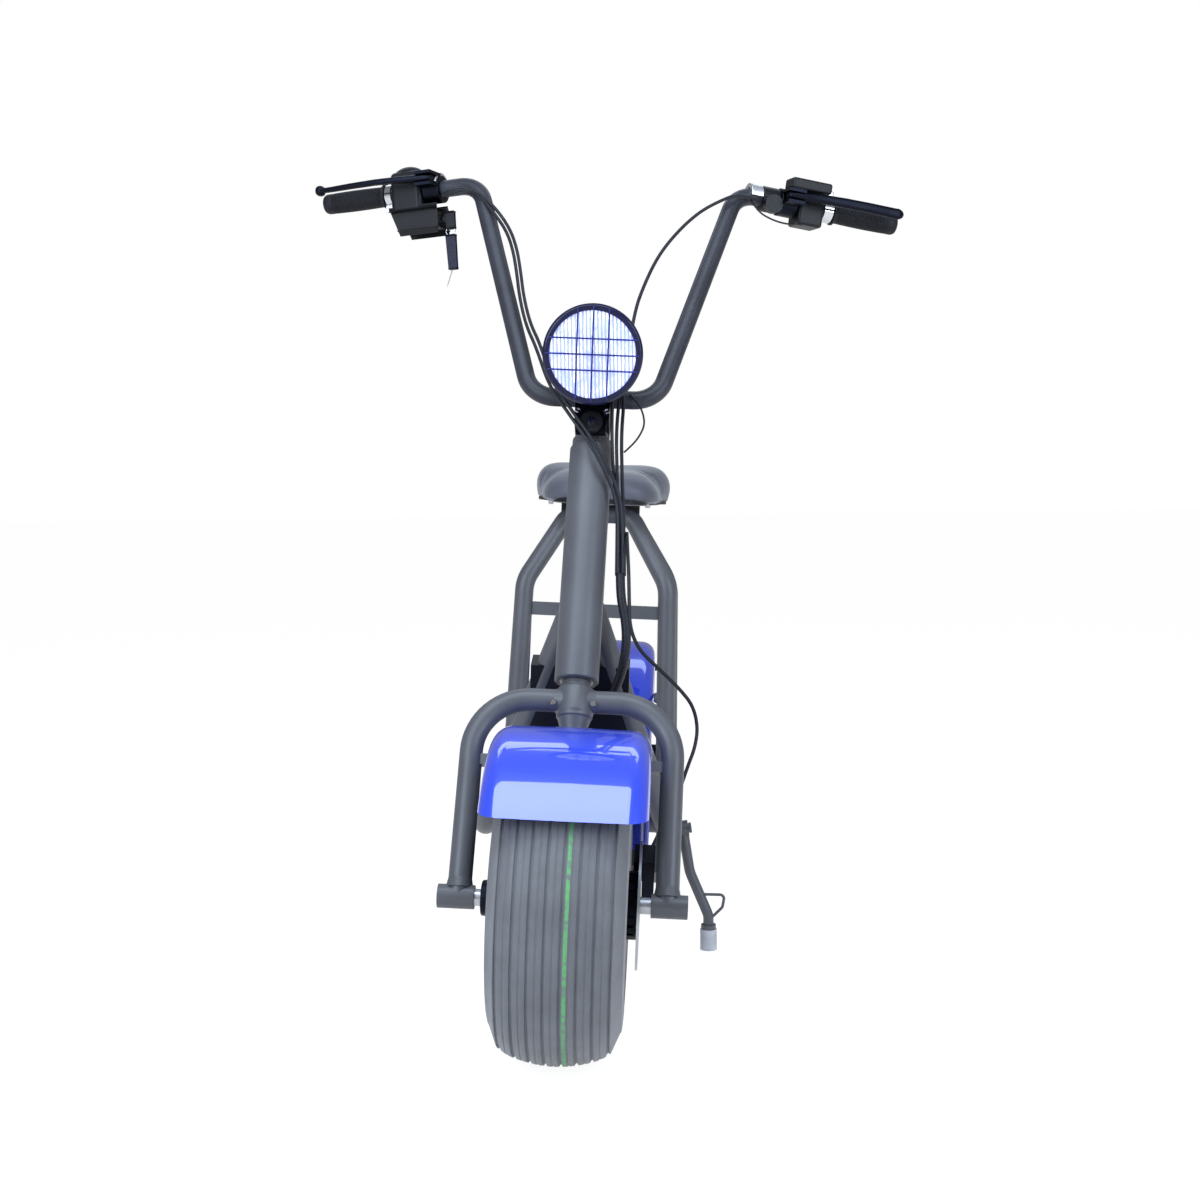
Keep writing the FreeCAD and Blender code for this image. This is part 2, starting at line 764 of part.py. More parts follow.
def lamp_place():
    """Headlamp frame: origin at the middle of its face, X left, Y back along its axis."""
    point = Vector(0, size("lamp_back"), size("lamp_high"))
    turn = STEERING.Rotation.inverted().multiply(Rotation(ACROSS, size("lamp_droop")))
    return Placement(steering_point(point), turn)


def lamp_turned(name, corners):
    """A lamp piece turned about the lamp's axis; a corner is (back from the face, radius)."""
    piece = turned(name, corners, "XY_Plane", "H_Axis")
    piece.Placement = lamp_place().multiply(Placement(Vector(0, 0, 0), Rotation(UP, 90)))
    return piece


def lamp_shell():
    outer = size("lamp_dia") / 2
    deep = size("lamp_deep")
    inner = size("lens_dia") / 2
    corners = (
        (0, inner, 0),
        (0, outer - 3, 3),
        (4, outer, 2),
        (18, outer, 2),
        (20, outer - 3, 2),
        (46, outer - 7, 12),
        (deep - 8, 34, 16),
        (deep, 12, 4),
        (deep, 0, 0),
        (deep - 4, 0, 0),
        (deep - 10, 28, 12),
        (44, outer - 11, 12),
        (12, outer - 8, 0),
        (10, inner, 0),
    )
    return lamp_turned("lamp_shell", corners)


def lamp_lens():
    inner = size("lens_dia") / 2
    corners = (
        (8, 0, 0),
        (-3, 0, 0),
        (-1, inner * 0.55, 60),
        (3, inner, 0),
        (8, inner, 0),
    )
    return lamp_turned("lamp_lens", corners)


def lamp_guard():
    """Three upright and three level wires across the lamp, their ends turned back on to its bezel."""
    wire = size("wire_dia")
    seat = -size("seat_gap")
    reach_round = size("lamp_dia") / 2 - 5.5
    wires = []
    for index in (-1, 0, 1):
        offset = index * size("wire_pitch")
        reach = math.sqrt(reach_round * reach_round - offset * offset)
        for label, layer in (("level", 3.6), ("upright", 3.9 + wire)):
            front = -layer - wire / 2
            ends = []
            for side in (-1, 1):
                along = side * reach
                if label == "level":
                    ends.append((Vector(along, seat, offset), Vector(along, front, offset)))
                else:
                    ends.append((Vector(offset, seat, along), Vector(offset, front, along)))
            first, knee = ends[0]
            last, far_knee = ends[1]
            corners = ((first, 0), (knee, wire), (far_knee, wire), (last, 0))
            wires.append(bent_tube("guard_%s%d" % (label, index + 1), "Sizes.wire_dia / 2", corners))
    guard = grouped("lamp_guard", wires)
    guard.Placement = lamp_place()
    return guard


def lamp_bracket():
    """Plate on the clamp's face and a stalk that cups the back of the lamp."""
    forward = -size("bar_forward") - 26
    bar = size("bar_low")
    rear = lamp_place().multVec(Vector(0, size("lamp_deep") - 6, -4))
    plate = block("bracket_plate", Vector(-20, forward - 5, bar - 16), Vector(20, forward, bar + 18))
    stalk = rod_between("bracket_stalk", "9", Vector(0, forward - 14, bar - 7), rear)
    foot = block("bracket_foot", Vector(-9, forward - 14, bar - 16), Vector(9, forward - 4, bar + 4))
    outer = size("lamp_dia") / 2 + size("seat_gap")
    deep = size("lamp_deep") + size("seat_gap")
    envelope = lamp_turned(
        "bracket_relief",
        ((0, 0, 0), (0, outer, 0), (20, outer, 0), (46, outer - 7, 12), (deep - 8, 34, 16), (deep, 12, 4), (deep, 0, 0)),
    )
    return cut("lamp_bracket", fused("bracket_whole", [plate, foot, stalk]), envelope)


def horn_button():
    """Round button with a bright bolt on the front of the clamp."""
    forward = -size("bar_forward") - 26
    return rod("clamp_boss", "Sizes.button_dia / 2", "9", Vector(0, forward, size("button_high")), Vector(0, -1, 0))


def mudguard(name, outer, fore, aft):
    """A flanged mudguard about a wheel axis; fore and aft are angles from the top."""
    half = size("fender_wide") / 2
    wall = size("fender_wall")
    bend = size("fender_round")
    deep = size("fender_deep")
    corners = (
        (-half, outer - deep, 0),
        (-half, outer - 2, bend),
        (0, outer, 0),
        (half, outer - 2, bend),
        (half, outer - deep, 0),
        (half - wall, outer - deep, 0),
        (half - wall, outer - 2 - wall, bend - wall),
        (0, outer - wall, 0),
        (-half + wall, outer - 2 - wall, bend - wall),
        (-half + wall, outer - deep, 0),
    )
    piece = turned(name + "_turned", corners, "XY_Plane", "H_Axis", fore + aft)
    piece.Placement = Placement(Vector(0, 0, 0), Rotation(ACROSS, 90 - aft))
    return piece


def front_mudguard():
    """Its front is cut level with its lip, and it sits a little to the left."""
    outer = RADIUS + size("fender_gap")
    whole = mudguard("front_fender", outer, size("fender_fore"), size("fender_aft"))
    whole.Placement = Placement(ACROSS * size("fender_shift"), whole.Placement.Rotation)
    lip = math.radians(size("fender_fore") - size("rake_angle"))
    lip_high = RADIUS + outer * math.cos(lip)
    below = block("front_fender_trim", Vector(-200, -300, 150), Vector(200, 0, lip_high))
    below.Placement = STEERING.inverse().multiply(below.Placement)
    return cut("front_fender", whole, below)


# Controls on the bar

def bar_box(name, side, out, back, up, round_over=0):
    """A box on the bar between out, back and up ranges, all edges rounded."""
    low = Vector(min(side * out[0], side * out[1]), back[0], up[0])
    item = doc.addObject("Part::Box", name)
    item.Length = abs(out[1] - out[0])
    item.Width = back[1] - back[0]
    item.Height = up[1] - up[0]
    item.Placement = bar_place(side, 0).multiply(Placement(low, Rotation()))
    if round_over <= 0:
        return item
    doc.recompute()
    rounded = doc.addObject("Part::Fillet", name + "_rounded")
    rounded.Base = item
    rounded.Edges = [(edge, round_over, round_over) for edge in range(1, 13)]
    return rounded


def bar_bore(name, side):
    """The cylinder that a clamped housing is bored out by."""
    item = doc.addObject("Part::Cylinder", name)
    item.setExpression("Radius", "Sizes.bar_dia / 2 + Sizes.running_fit")
    item.Height = 300
    place = bar_place(side, 0)
    along = (bar_end(side) - bar_corner(side)).normalize()
    item.Placement = Placement(bar_corner(side) - along * 2, Rotation(UP, along))
    return item


def bar_rod(name, side, radius, first, last):
    """A cylinder between two points given as (out, back, up) on the bar."""
    place = bar_place(side, 0)
    start = place.multVec(Vector(side * first[0], first[1], first[2]))
    end = place.multVec(Vector(side * last[0], last[1], last[2]))
    return rod_between(name, "%g" % radius, start, end)


LEVER_UP = {-1: 13, 1: 6}
PERCH_OUT = {-1: 68, 1: 75}


def brake_lever(label, side):
    start = PERCH_OUT[side]
    corners = (
        (start + 2, -46, 4),
        (start + 2, -26, 4),
        (start + 36, -36, 20),
        (286, -42, 7),
        (286, -57, 7),
        (start + 50, -52, 40),
    )
    if side < 0:
        corners = tuple((-x, y, bend) for x, y, bend in corners)
    blade = padded("lever_blade_" + label, corners, "14", "XY_Plane", True)
    blade.Placement = bar_place(side, 0, 0, LEVER_UP[side])
    pin = bar_rod("lever_pivot_" + label, side, 3.05, (start + 15, -36, LEVER_UP[side] - 10), (start + 15, -36, LEVER_UP[side] + 10))
    return cut("lever_" + label, blade, pin)


def perch(label, side):
    """Clamp on the bar with two cheeks that hold the brake lever."""
    start = PERCH_OUT[side]
    up = LEVER_UP[side]
    ring = ring_on_bar("perch_ring_" + label, side, start, 30, 23, 0)
    upper = bar_box("perch_upper_" + label, side, (start, start + 30), (-50, -8), (up + 7, up + 12))
    lower = bar_box("perch_lower_" + label, side, (start, start + 30), (-50, -8), (up - 12, up - 7))
    pin = bar_rod("perch_pin_" + label, side, 3, (start + 15, -36, up - 12), (start + 15, -36, up + 12))
    whole = fused("perch_whole_" + label, [ring, upper, lower, pin])
    return cut("perch_" + label, whole, bar_bore("perch_bore_" + label, side))


def throttle_housing():
    body = bar_box("throttle_body", -1, (100, 158), (-25, 24), (-36, 34), 9)
    dome = doc.addObject("Part::Ellipsoid", "throttle_dome")
    dome.Radius1 = 20
    dome.Radius2 = 30
    dome.Radius3 = 20
    dome.Placement = bar_place(-1, 130, -3, 24)
    whole = fused("throttle_whole", [body, dome])
    return cut("throttle_housing", whole, bar_bore("throttle_bore", -1))


def key_switch():
    body = bar_box("key_body", -1, (69, 148), (-19, 19), (-80, -36), 5)
    button = bar_rod("key_button", -1, 7, (84, -18, -50), (84, -24, -50))
    return fused("key_switch", [body, button])


def key():
    """The key's bow and neck in the side of the switch."""
    neck = bar_rod("key_neck", -1, 3.5, (69, 0, -57), (56, 0, -57))
    bow = bar_box("key_bow", -1, (38, 57), (-3, 3), (-75, -38), 2)
    hole = bar_rod("key_hole", -1, 3.2, (47.5, -5, -70), (47.5, 5, -70))
    return cut("key", fused("key_whole", [neck, bow]), hole)


def key_fob():
    ring = doc.addObject("Part::Torus", "key_ring")
    ring.Radius1 = 9
    ring.Radius2 = 0.9
    place = bar_place(-1, 47.5, 0, -80.5)
    ring.Placement = place.multiply(Placement(Vector(0, 0, 0), Rotation(BACK, 90)))
    tag = bar_box("fob_tag", -1, (38, 57), (-3, 3), (-142, -84.5), 2)
    hole = bar_rod("fob_hole", -1, 2.2, (47.5, -5, -89.2), (47.5, 5, -89.2))
    blade = bar_rod("fob_blade", -1, 2.6, (49, 0, -142.3), (62, 0, -166))
    return grouped("key_fob", [ring, cut("fob_bored", tag, hole), blade])


def switch_box():
    body = bar_box("switch_body", 1, (107, 152), (-24, 22), (-34, 17), 5)
    return cut("switch_box", body, bar_bore("switch_bore", 1))


def brake_reservoir():
    return bar_box("reservoir_box", 1, (78, 150), (-52, -16), (LEVER_UP[1] + 12, LEVER_UP[1] + 30), 4)


def horn_knob():
    """A ring on the bar and the round knob in front of it."""
    outer = 21
    ring = ring_on_bar("horn_ring", 1, 43, 30, outer)
    near = -outer - size("seat_gap")
    knob = bar_rod("horn_body", 1, 15.5, (57, near, -11), (57, near - 12, -11))
    return grouped("horn_knob", [ring, knob])


def clamp_bolts():
    """Four cap bolts on the clamp, and the bright bolt of the button below."""
    forward = -size("bar_forward")
    top = size("bar_low") + 24
    bolts = []
    for index, (x, y) in enumerate(((-19, -18), (19, -18), (-19, 18), (19, 18))):
        bolts.append(rod("clamp_bolt%d" % index, "5", "6", Vector(x, forward + y, top), UP))
    front = Vector(0, forward - 35, size("button_high"))
    bolts.append(rod("clamp_bolt_front", "5", "5", front, Vector(0, -1, 0)))
    return grouped("clamp_bolts", bolts)


# Frame

def rail_envelope(name, extra):
    """Both cradle tubes and rails, larger by extra, for coping what meets them."""
    top = Vector(0, size("cradle_top_back"), size("cradle_top"))
    tubes = []
    for label, side in SIDES:
        x = side * size("rail_half")
        corners = (
            (top, 0),
            (Vector(x, size("rail_front"), size("rail_high")), size("rail_bend")),
            (Vector(x, size("wheelbase") - 75, size("rail_high")), 0),
        )
        tubes.append(bent_tube(name + "_" + label, "Sizes.rail_tube / 2 + %g" % extra, corners))
    return fused(name, tubes)


def cradle():
    tool = doc.addObject("Part::Cylinder", "cradle_cope")
    tool.setExpression("Radius", "Sizes.head_dia / 2 + Sizes.seat_gap")
    tool.Height = 600
    tool.Placement = STEERING.multiply(Placement(Vector(0, 0, 250), Rotation()))
    return cut("cradle_tubes", rail_envelope("cradle_whole", 0), tool)


def cross_tubes():
    reach = size("rail_half")
    high = RAIL_TOP - size("cross_tube") / 2
    rear_radius = RADIUS + size("rear_fender_gap") + size("seat_gap")
    lift = high - RADIUS
    rear = size("wheelbase") - math.sqrt((rear_radius + size("cross_tube") / 2) ** 2 - lift ** 2)
    bars = []
    for index, back in enumerate((size("deck_front") + 25, size("deck_rear") - 8, rear)):
        base = Vector(-reach, back, high)
        bars.append(rod("cross_tube%d" % index, "Sizes.cross_tube / 2", "2 * Sizes.rail_half", base, ACROSS))
    gap = size("seat_gap")
    return cut("cross_tubes", fused("cross_whole", bars), rail_envelope("cross_cope", gap))


def front_hoop_corners():
    corners = []
    for side in (-1, 1):
        leg = [
            (Vector(side * 141, size("hoop_back") - 20, size("rail_high") + 6), 0),
            (Vector(side * size("hoop_half"), size("hoop_back"), size("hoop_shoulder")), 60),
            (Vector(side * size("hoop_top_half"), size("hoop_top_back"), size("hoop_top")), 40),
        ]
        corners += leg if side < 0 else leg[::-1]
    return corners


def rear_hoop_corners():
    corners = []
    cross_back = size("hoop_top_back") + size("hoop_pitch")
    for side in (-1, 1):
        leg = [
            (Vector(side * size("rail_half"), size("rear_hoop_foot"), size("rail_high") + 6), 0),
            (Vector(side * size("rear_hoop_half"), size("rear_hoop_back"), size("hoop_shoulder")), 60),
            (Vector(side * size("hoop_top_half"), cross_back, size("hoop_top")), 40),
        ]
        corners += leg if side < 0 else leg[::-1]
    return corners


def hoop(name, corners, radius):
    whole = bent_tube(name + "_tube", radius, corners)
    return cut(name, whole, rail_envelope(name + "_cope", size("seat_gap")))


def hoop_plate():
    middle = size("plate_high")
    half = size("plate_wide") / 2
    back = size("hoop_back") - 3
    bar = block("hoop_plate_bar", Vector(-125, back - 3, middle - half), Vector(125, back + 3, middle + half))
    cope = bent_tube("hoop_plate_cope", "Sizes.hoop_tube / 2 + Sizes.seat_gap", front_hoop_corners())
    return cut("hoop_plate", bar, cope)


def saddle_blocks():
    """Two dark bearers under the saddle from one hoop to the other."""
    high = SADDLE_LOW
    blocks = []
    for label, side in SIDES:
        x = side * 57
        low = Vector(x - 15, size("hoop_top_back") - 5, size("hoop_top") - 16)
        top = Vector(x + 15, size("hoop_top_back") + size("hoop_pitch") + 5, high)
        blocks.append(block("saddle_block_" + label, low, top))
    front = bent_tube("block_cope_front", "Sizes.hoop_tube / 2 + Sizes.seat_gap", front_hoop_corners())
    rear = bent_tube("block_cope_rear", "Sizes.rear_hoop_tube / 2 + Sizes.seat_gap", rear_hoop_corners())
    return cut("saddle_blocks", fused("saddle_blocks_whole", blocks), fused("block_cope", [front, rear]))


def saddle_outline(inset):
    nose = size("saddle_nose") / 2 - inset
    half = size("saddle_wide") / 2 - inset
    front = size("saddle_front") + inset
    rear = size("saddle_front") + size("saddle_long") - inset
    waist = front + size("saddle_long") * 0.5
    return (
        (-nose, front, 45),
        (nose, front, 45),
        (half, waist, 90),
        (half, rear, 75),
        (-half, rear, 75),
        (-half, waist, 90),
    )


def saddle_base():
    base = padded("saddle_base", saddle_outline(14), "6")
    base.Placement = Placement(Vector(0, 0, SADDLE_LOW), Rotation())
    return base


def saddle():
    """The cushion: its plan padded, its rim rounded over."""
    body = padded("saddle_blank", saddle_outline(0), "Sizes.saddle_high")
    doc.recompute()
    edges = []
    for index, edge in enumerate(body.Shape.Edges, start=1):
        box = edge.BoundBox
        if box.ZMin > size("saddle_high") - 1e-3:
            edges.append((index, 30, 30))
        elif box.ZMax < 1e-3:
            edges.append((index, 8, 8))
    item = doc.addObject("Part::Fillet", "saddle")
    item.Base = body
    item.Edges = edges
    item.Placement = Placement(Vector(0, 0, SADDLE_LOW + 6), Rotation())
    return item


def deck_board():
    half = size("deck_wide") / 2
    front = size("deck_front")
    rear = size("deck_rear")
    corners = ((-half, front, 20), (half, front, 20), (half, rear, 8), (-half, rear, 8))
    board = padded("deck_blank", corners, "Sizes.deck_thick")
    board.Placement = Placement(Vector(0, 0, RAIL_TOP), Rotation())
    cope = bent_tube("deck_cope", "Sizes.hoop_tube / 2 + 1", front_hoop_corners())
    return cut("deck_board", board, cope)


def battery_case():
    half = size("battery_wide") / 2
    front = size("deck_front") + 50
    rear = front + size("battery_long")
    low = RAIL_TOP - size("battery_deep")
    box = block("battery_block", Vector(-half, front, low), Vector(half, rear, RAIL_TOP))
    doc.recompute()
    item = doc.addObject("Part::Chamfer", "battery_case")
    item.Base = box
    low_edges = []
    for index, edge in enumerate(box.Shape.Edges, start=1):
        if edge.BoundBox.ZMax < low + 1e-3:
            low_edges.append((index, 12, 12))
    item.Edges = low_edges
    return item


def dropouts():
    plates = []
    half = size("dropout_thick") / 2
    front = size("wheelbase") - 75
    for label, side in SIDES:
        x = side * size("rail_half")
        low = Vector(x - half, front, RADIUS - 32)
        high = Vector(x + half, size("wheelbase") + 34, RADIUS + 40)
        plates.append(block("dropout_" + label, low, high))
    bore = doc.addObject("Part::Cylinder", "dropout_bore")
    bore.setExpression("Radius", "Sizes.axle_dia / 2 + Sizes.running_fit")
    bore.Height = 400
    bore.Placement = Placement(Vector(-200, size("wheelbase"), RADIUS), Rotation(UP, ACROSS))
    return cut("dropout_plates", fused("dropout_whole", plates), bore)


def fender_stays():
    """Stays from the axle plates up to the rear mudguard, and struts from the rear hoop."""
    stays = []
    flank = size("fender_wide") / 2
    top = RADIUS + 40
    y = size("wheelbase") + 22
    for label, side in SIDES:
        corners = (
            (Vector(side * size("rail_half"), y, top), 0),
            (Vector(side * size("rail_half"), y, top + 90), 40),
            (Vector(side * (flank + 12), y + 6, top + 150), 9),
            (Vector(side * flank, y + 6, top + 150), 0),
        )
        stays.append(bent_tube("fender_stay_" + label, "4.5", corners))
    for label, side in SIDES:
        x = side * (flank + 4.5 + size("seat_gap"))
        corners = (
            (Vector(x, size("wheelbase") - 140, 381), 0),
            (Vector(x, size("wheelbase") - 232, 381), 25),
            (Vector(side * 146, size("wheelbase") - 284, 381), 0),
        )
        stays.append(bent_tube("fender_strut_" + label, "4.5", corners))
    cope = bent_tube("tab_cope", "Sizes.rear_hoop_tube / 2 + Sizes.seat_gap", rear_hoop_corners())
    return cut("fender_stays", fused("fender_stays_whole", stays), cope)


def tail_lamp():
    outer = RADIUS + size("rear_fender_gap") + size("seat_gap")
    item = doc.addObject("Part::Box", "tail_lamp_box")
    item.Length = 96
    item.Width = 44
    item.Height = 24
    turn = Rotation(ACROSS, -40)
    base = Vector(0, size("wheelbase"), RADIUS) + turn.multVec(Vector(-48, -22, outer))
    item.Placement = Placement(base, turn)
    doc.recompute()
    rounded = doc.addObject("Part::Fillet", "tail_lamp")
    rounded.Base = item
    upper = []
    for index, edge in enumerate(item.Shape.Edges, start=1):
        middle = turn.inverted().multVec(edge.CenterOfMass - base)
        if middle.z > 1:
            upper.append((index, 7, 7))
    rounded.Edges = upper
    return rounded


def caliper(name, place):
    """Caliper about the disc's rim: X left, Z outwards from the axle."""
    slot = size("disc_thick") / 2 + 0.75
    middle = size("disc_place")
    body = block(name + "_body", Vector(middle - 10, -32, 56), Vector(CALIPER_OUT, 32, 104))
    doc.recompute()
    rounded = doc.addObject("Part::Chamfer", name + "_chamfered")
    rounded.Base = body
    edges = []
    for index, edge in enumerate(body.Shape.Edges, start=1):
        if edge.BoundBox.ZMin > 103:
            edges.append((index, 6, 6))
    rounded.Edges = edges
    gap = block(name + "_gap", Vector(middle - slot, -40, 50), Vector(middle + slot, 40, size("disc_dia") / 2 + 4))
    item = cut(name, rounded, gap)
    item.Placement = place
    return item


def rear_caliper():
    place = REAR_AXLE.multiply(Placement(Vector(0, 0, 0), Rotation(ACROSS, 82)))
    item = caliper("rear_caliper_body", place)
    arm = block(
        "rear_caliper_arm",
        Vector(CALIPER_OUT, size("wheelbase") - 70, RADIUS - 20),
        Vector(size("rail_half") - size("dropout_thick") / 2, size("wheelbase") - 60, RADIUS + 20),
    )
    return fused("rear_caliper", [item, arm])


def controller_case():
    """Dark case between the down tubes, coped to seat against both of them."""
    half = size("case_wide") / 2
    run = size("rail_front") - size("cradle_top_back")
    drop = size("cradle_top") - size("rail_high")
    place_back = size("cradle_top_back") + (size("cradle_top") - size("case_low")) * run / drop
    box = block("case_block", Vector(-half, -18, 0), Vector(half, size("case_deep") - 18, size("case_high")))
    turn = Rotation(ACROSS, math.degrees(math.atan2(run, drop)))
    box.Placement = Placement(Vector(0, place_back, size("case_low")), turn).multiply(box.Placement)
    return cut("controller_case", box, rail_envelope("case_cope", size("seat_gap")))


# Wiring. Points are (left, back, up the steering axis), and bends are as large as the runs allow.

CONTROL_CABLES = (
    ("right_brake", "cable_dia", (
        (-276, 6, 1192), (-229, -22, 1197), (-188, -22, 1143), (-161, -26, 1102), (-146.5, -30, 1061),
        (-137, -31, 1016), (-129, -33, 969), (-114.5, -37, 915), (-95, -44, 872), (-69, -58, 795), (-34, -62, 744),
        (10, -56, 684), (45, -24, 626), (50, -9, 565), (52.9, -5, 505))),
    ("right_throttle", "cable_dia", (
        (-277, 2, 1185), (-227, -25, 1190.5), (-182.5, -24, 1147), (-155, -27, 1105), (-140, -31, 1063),
        (-130.5, -32, 1017), (-122.5, -34, 971), (-108, -39, 918), (-88.5, -46, 876), (-64, -61, 799), (-29, -64, 748),
        (15, -58, 688), (50.5, -27, 629), (57.5, -9, 567), (60.1, -5, 505))),
    ("left_controls", "cable_dia", (
        (256, 0, 1190), (228, -27, 1196), (172, -30, 1163), (139.8, -32, 1132), (108.5, -32, 1090),
        (87.3, -35, 1049), (70, -36, 999), (58, -39, 951), (51, -44, 870), (41, -45, 790), (39, -42, 725),
        (44, -22, 660), (47.5, 2, 586), (50.6, 1.9, 505))),
    ("lamp_supply", "cable_dia", (
        (31, -55, 800), (31, -51, 760), (33, -46, 715), (38, -16, 660), (52, 9, 586), (56.5, 6.2, 505))),
    ("lamp_switch", "cable_dia", (
        (44, -56, 815), (49, -46, 785), (47, -40, 725), (51.5, -18, 660), (58, 3, 586), (62.4, 1.9, 505))),
    ("loose_loop", "thin_cable_dia", (
        (57, -36.2, 798), (70.4, -40, 782), (79.8, -42, 760.6), (82.4, -42, 741.5), (76.2, -41, 724), (66, -38, 709),
        (52.6, -33.4, 697))),
    ("switch_wire", "thin_cable_dia", (
        (238, -5.8, 1197.7), (250, -22, 1160), (275, -30, 1138), (299.5, -27, 1133), (318, -10, 1146), (328, 31, 1172))),
)
BRAKE_HOSE = (
    (62.9, -1.5, 575), (66, -22, 535), (70, -38, 490), (73, -42, 440), (76, -40, 402), (91, -30, 372), (127, -5, 349),
    (153, 20, 333), (174.5, 42, 315.5), (183.5, 56, 286), (180, 58, 254), (171, 58, 227), (160, 63, 190),
    (139, 72, 142), (120, 72, 96),
)
SHEATH = (
    (56.5, 229, 674.5), (58, 213.4, 643.8), (68, 206.4, 608), (71, 201.2, 571.4), (66, 209.8, 531), (54, 229.7, 495),
    (40, 251.5, 465.5),
)


def wiring_upper():
    """Control cables and lamp wires, carried by the bar down to beside the head tube."""
    cables = []
    for label, width, points in CONTROL_CABLES:
        cables.append(cable("cable_" + label, size(width), [Vector(*point) for point in points]))
    return grouped("wiring_upper", cables)


def front_brake_hose():
    return cable("front_brake_hose", size("cable_dia"), [Vector(*point) for point in BRAKE_HOSE])


def wiring_lower():
    """Sheath beside the head tube, told upright, that ends on the controller case."""
    return cable("wiring_lower", size("sheath_dia"), [Vector(*point) for point in SHEATH])


# Side stand, modelled upright about its pivot

def stand_axis():
    tilt = math.radians(size("stand_tilt"))
    return Vector(math.cos(tilt), 0, math.sin(tilt))


def stand_pivot():
    return Vector(size("stand_pivot"), size("stand_back"), size("rail_high") - size("stand_drop"))


def stand_ground():
    """Where the foot meets the ground of the parked scooter, told upright."""
    return LEAN.inverse().multVec(Vector(size("stand_foot"), size("stand_back") - size("stand_ahead"), 0))


def stand_bracket():
    pivot = stand_pivot()
    axis = stand_axis()
    face = size("stand_eye") / 2 + size("free_gap")
    lug = rod_between("stand_lug", "14", pivot - axis * 28, pivot - axis * face)
    bolt = rod_between("stand_bolt", "6", pivot - axis * (face + 2), pivot + axis * (face + 4))
    head = rod_between("stand_bolt_head", "9", pivot + axis * face, pivot + axis * (face + 5))
    stop = block(
        "stand_gusset",
        Vector(146, size("stand_back") - 16, size("rail_high") - 46),
        Vector(162, size("stand_back") + 16, size("rail_high") - 8),
    )
    whole = fused("stand_bracket_whole", [lug, stop])
    coped = cut("stand_bracket_coped", whole, rail_envelope("stand_cope", size("seat_gap")))
    return fused("stand_bracket", [coped, bolt, head])


def stand_leg():
    pivot = stand_pivot()
    axis = stand_axis()
    ground = stand_ground()
    foot_top = LEAN_UP * 44
    ankle = ground + foot_top
    knee = Vector(size("stand_knee"), size("stand_back") - size("stand_ahead") / 2, 145)
    shin = ground + LEAN_UP * 60
    start = pivot + axis.cross(BACK) * -9
    corners = ((start, 0), (knee, 60), (shin, 28), (ankle, 0))
    half = size("stand_eye") / 2
    eye = rod_between("stand_eye", "14", pivot - axis * half, pivot + axis * half)
    leg = bent_tube("stand_tube", "Sizes.stand_dia / 2", corners)
    collar = rod_between("stand_collar", "13", ankle - LEAN_UP * 8, ankle)
    y = ground.y
    tang = (
        (Vector(205, y, 108), 0),
        (Vector(252, y - 3, 110), 7),
        (Vector(249, y - 3, 88), 7),
        (ground + LEAN_UP * 50, 0),
    )
    loop = bent_tube("stand_loop", "2.5", tang)
    whole = fused("stand_whole", [eye, leg, collar, loop])
    bore = rod_between("stand_bore", "6 + Sizes.running_fit", pivot - axis * 20, pivot + axis * 20)
    return cut("stand_leg", whole, bore)


def stand_foot():
    ground = stand_ground()
    return rod_between("stand_foot", "Sizes.foot_dia / 2", ground, ground + LEAN_UP * 36)


# Building the scooter

LEAN = Placement(Vector(0, 0, 0), Rotation(BACK, size("lean_angle")))
LEAN_UP = LEAN.inverse().Rotation.multVec(UP)

front_spacers = (("right", -size("sleeve_inner"), -115, 12),)
front_spacers_left = (("left", size("disc_place") - size("disc_thick") / 2 - 1.5, size("sleeve_inner"), 12),)
rear_inner = size("rail_half") - size("dropout_thick") / 2
rear_spacers = (("right", -rear_inner, -115, 12),)
rear_spacers_left = (("left", size("disc_place") - size("disc_thick") / 2 - 1.5, rear_inner, 12),)

keep(tyre("front_tyre"), STEERING)
keep(front_rim(), STEERING)
keep(disc_carrier("front_disc_carrier"), STEERING)
keep(brake_disc("front_disc"), STEERING)
sleeve_end = size("sleeve_inner") + size("sleeve_long")
keep(axle("front_axle", sleeve_end - 1, sleeve_end, front_spacers, front_spacers_left, False), STEERING)
keep(fork(), STEERING)
keep(front_mudguard(), STEERING)
keep(caliper("front_caliper", Placement(Vector(0, 0, 0), Rotation(ACROSS, -38))), STEERING)
keep(stem_cap(), STEERING)
keep(handlebar_clamp(), STEERING)
keep(clamp_bolts(), STEERING)
keep(horn_button(), STEERING, "clamp_button")
keep(handlebar(), STEERING)
grips = [grip(label, side) for label, side in SIDES]
keep(grouped("grips", grips), STEERING)
collars = [ring_on_bar("grip_ring_right", -1, 160, 13, 19), ring_on_bar("grip_ring_left", 1, 155, 18, 19)]
keep(grouped("grip_rings", collars), STEERING)
keep(grouped("lever_perches", [perch(label, side) for label, side in SIDES]), STEERING)
keep(grouped("brake_levers", [brake_lever(label, side) for label, side in SIDES]), STEERING)
keep(throttle_housing(), STEERING)
keep(key_switch(), STEERING)
keep(key(), STEERING)
keep(key_fob(), STEERING)
keep(switch_box(), STEERING)
keep(brake_reservoir(), STEERING, "brake_reservoir")
keep(horn_knob(), STEERING)
keep(lamp_shell(), STEERING)
keep(lamp_lens(), STEERING)
keep(lamp_guard(), STEERING)
keep(lamp_bracket(), STEERING)
keep(wiring_upper(), STEERING)
keep(front_brake_hose(), STEERING)

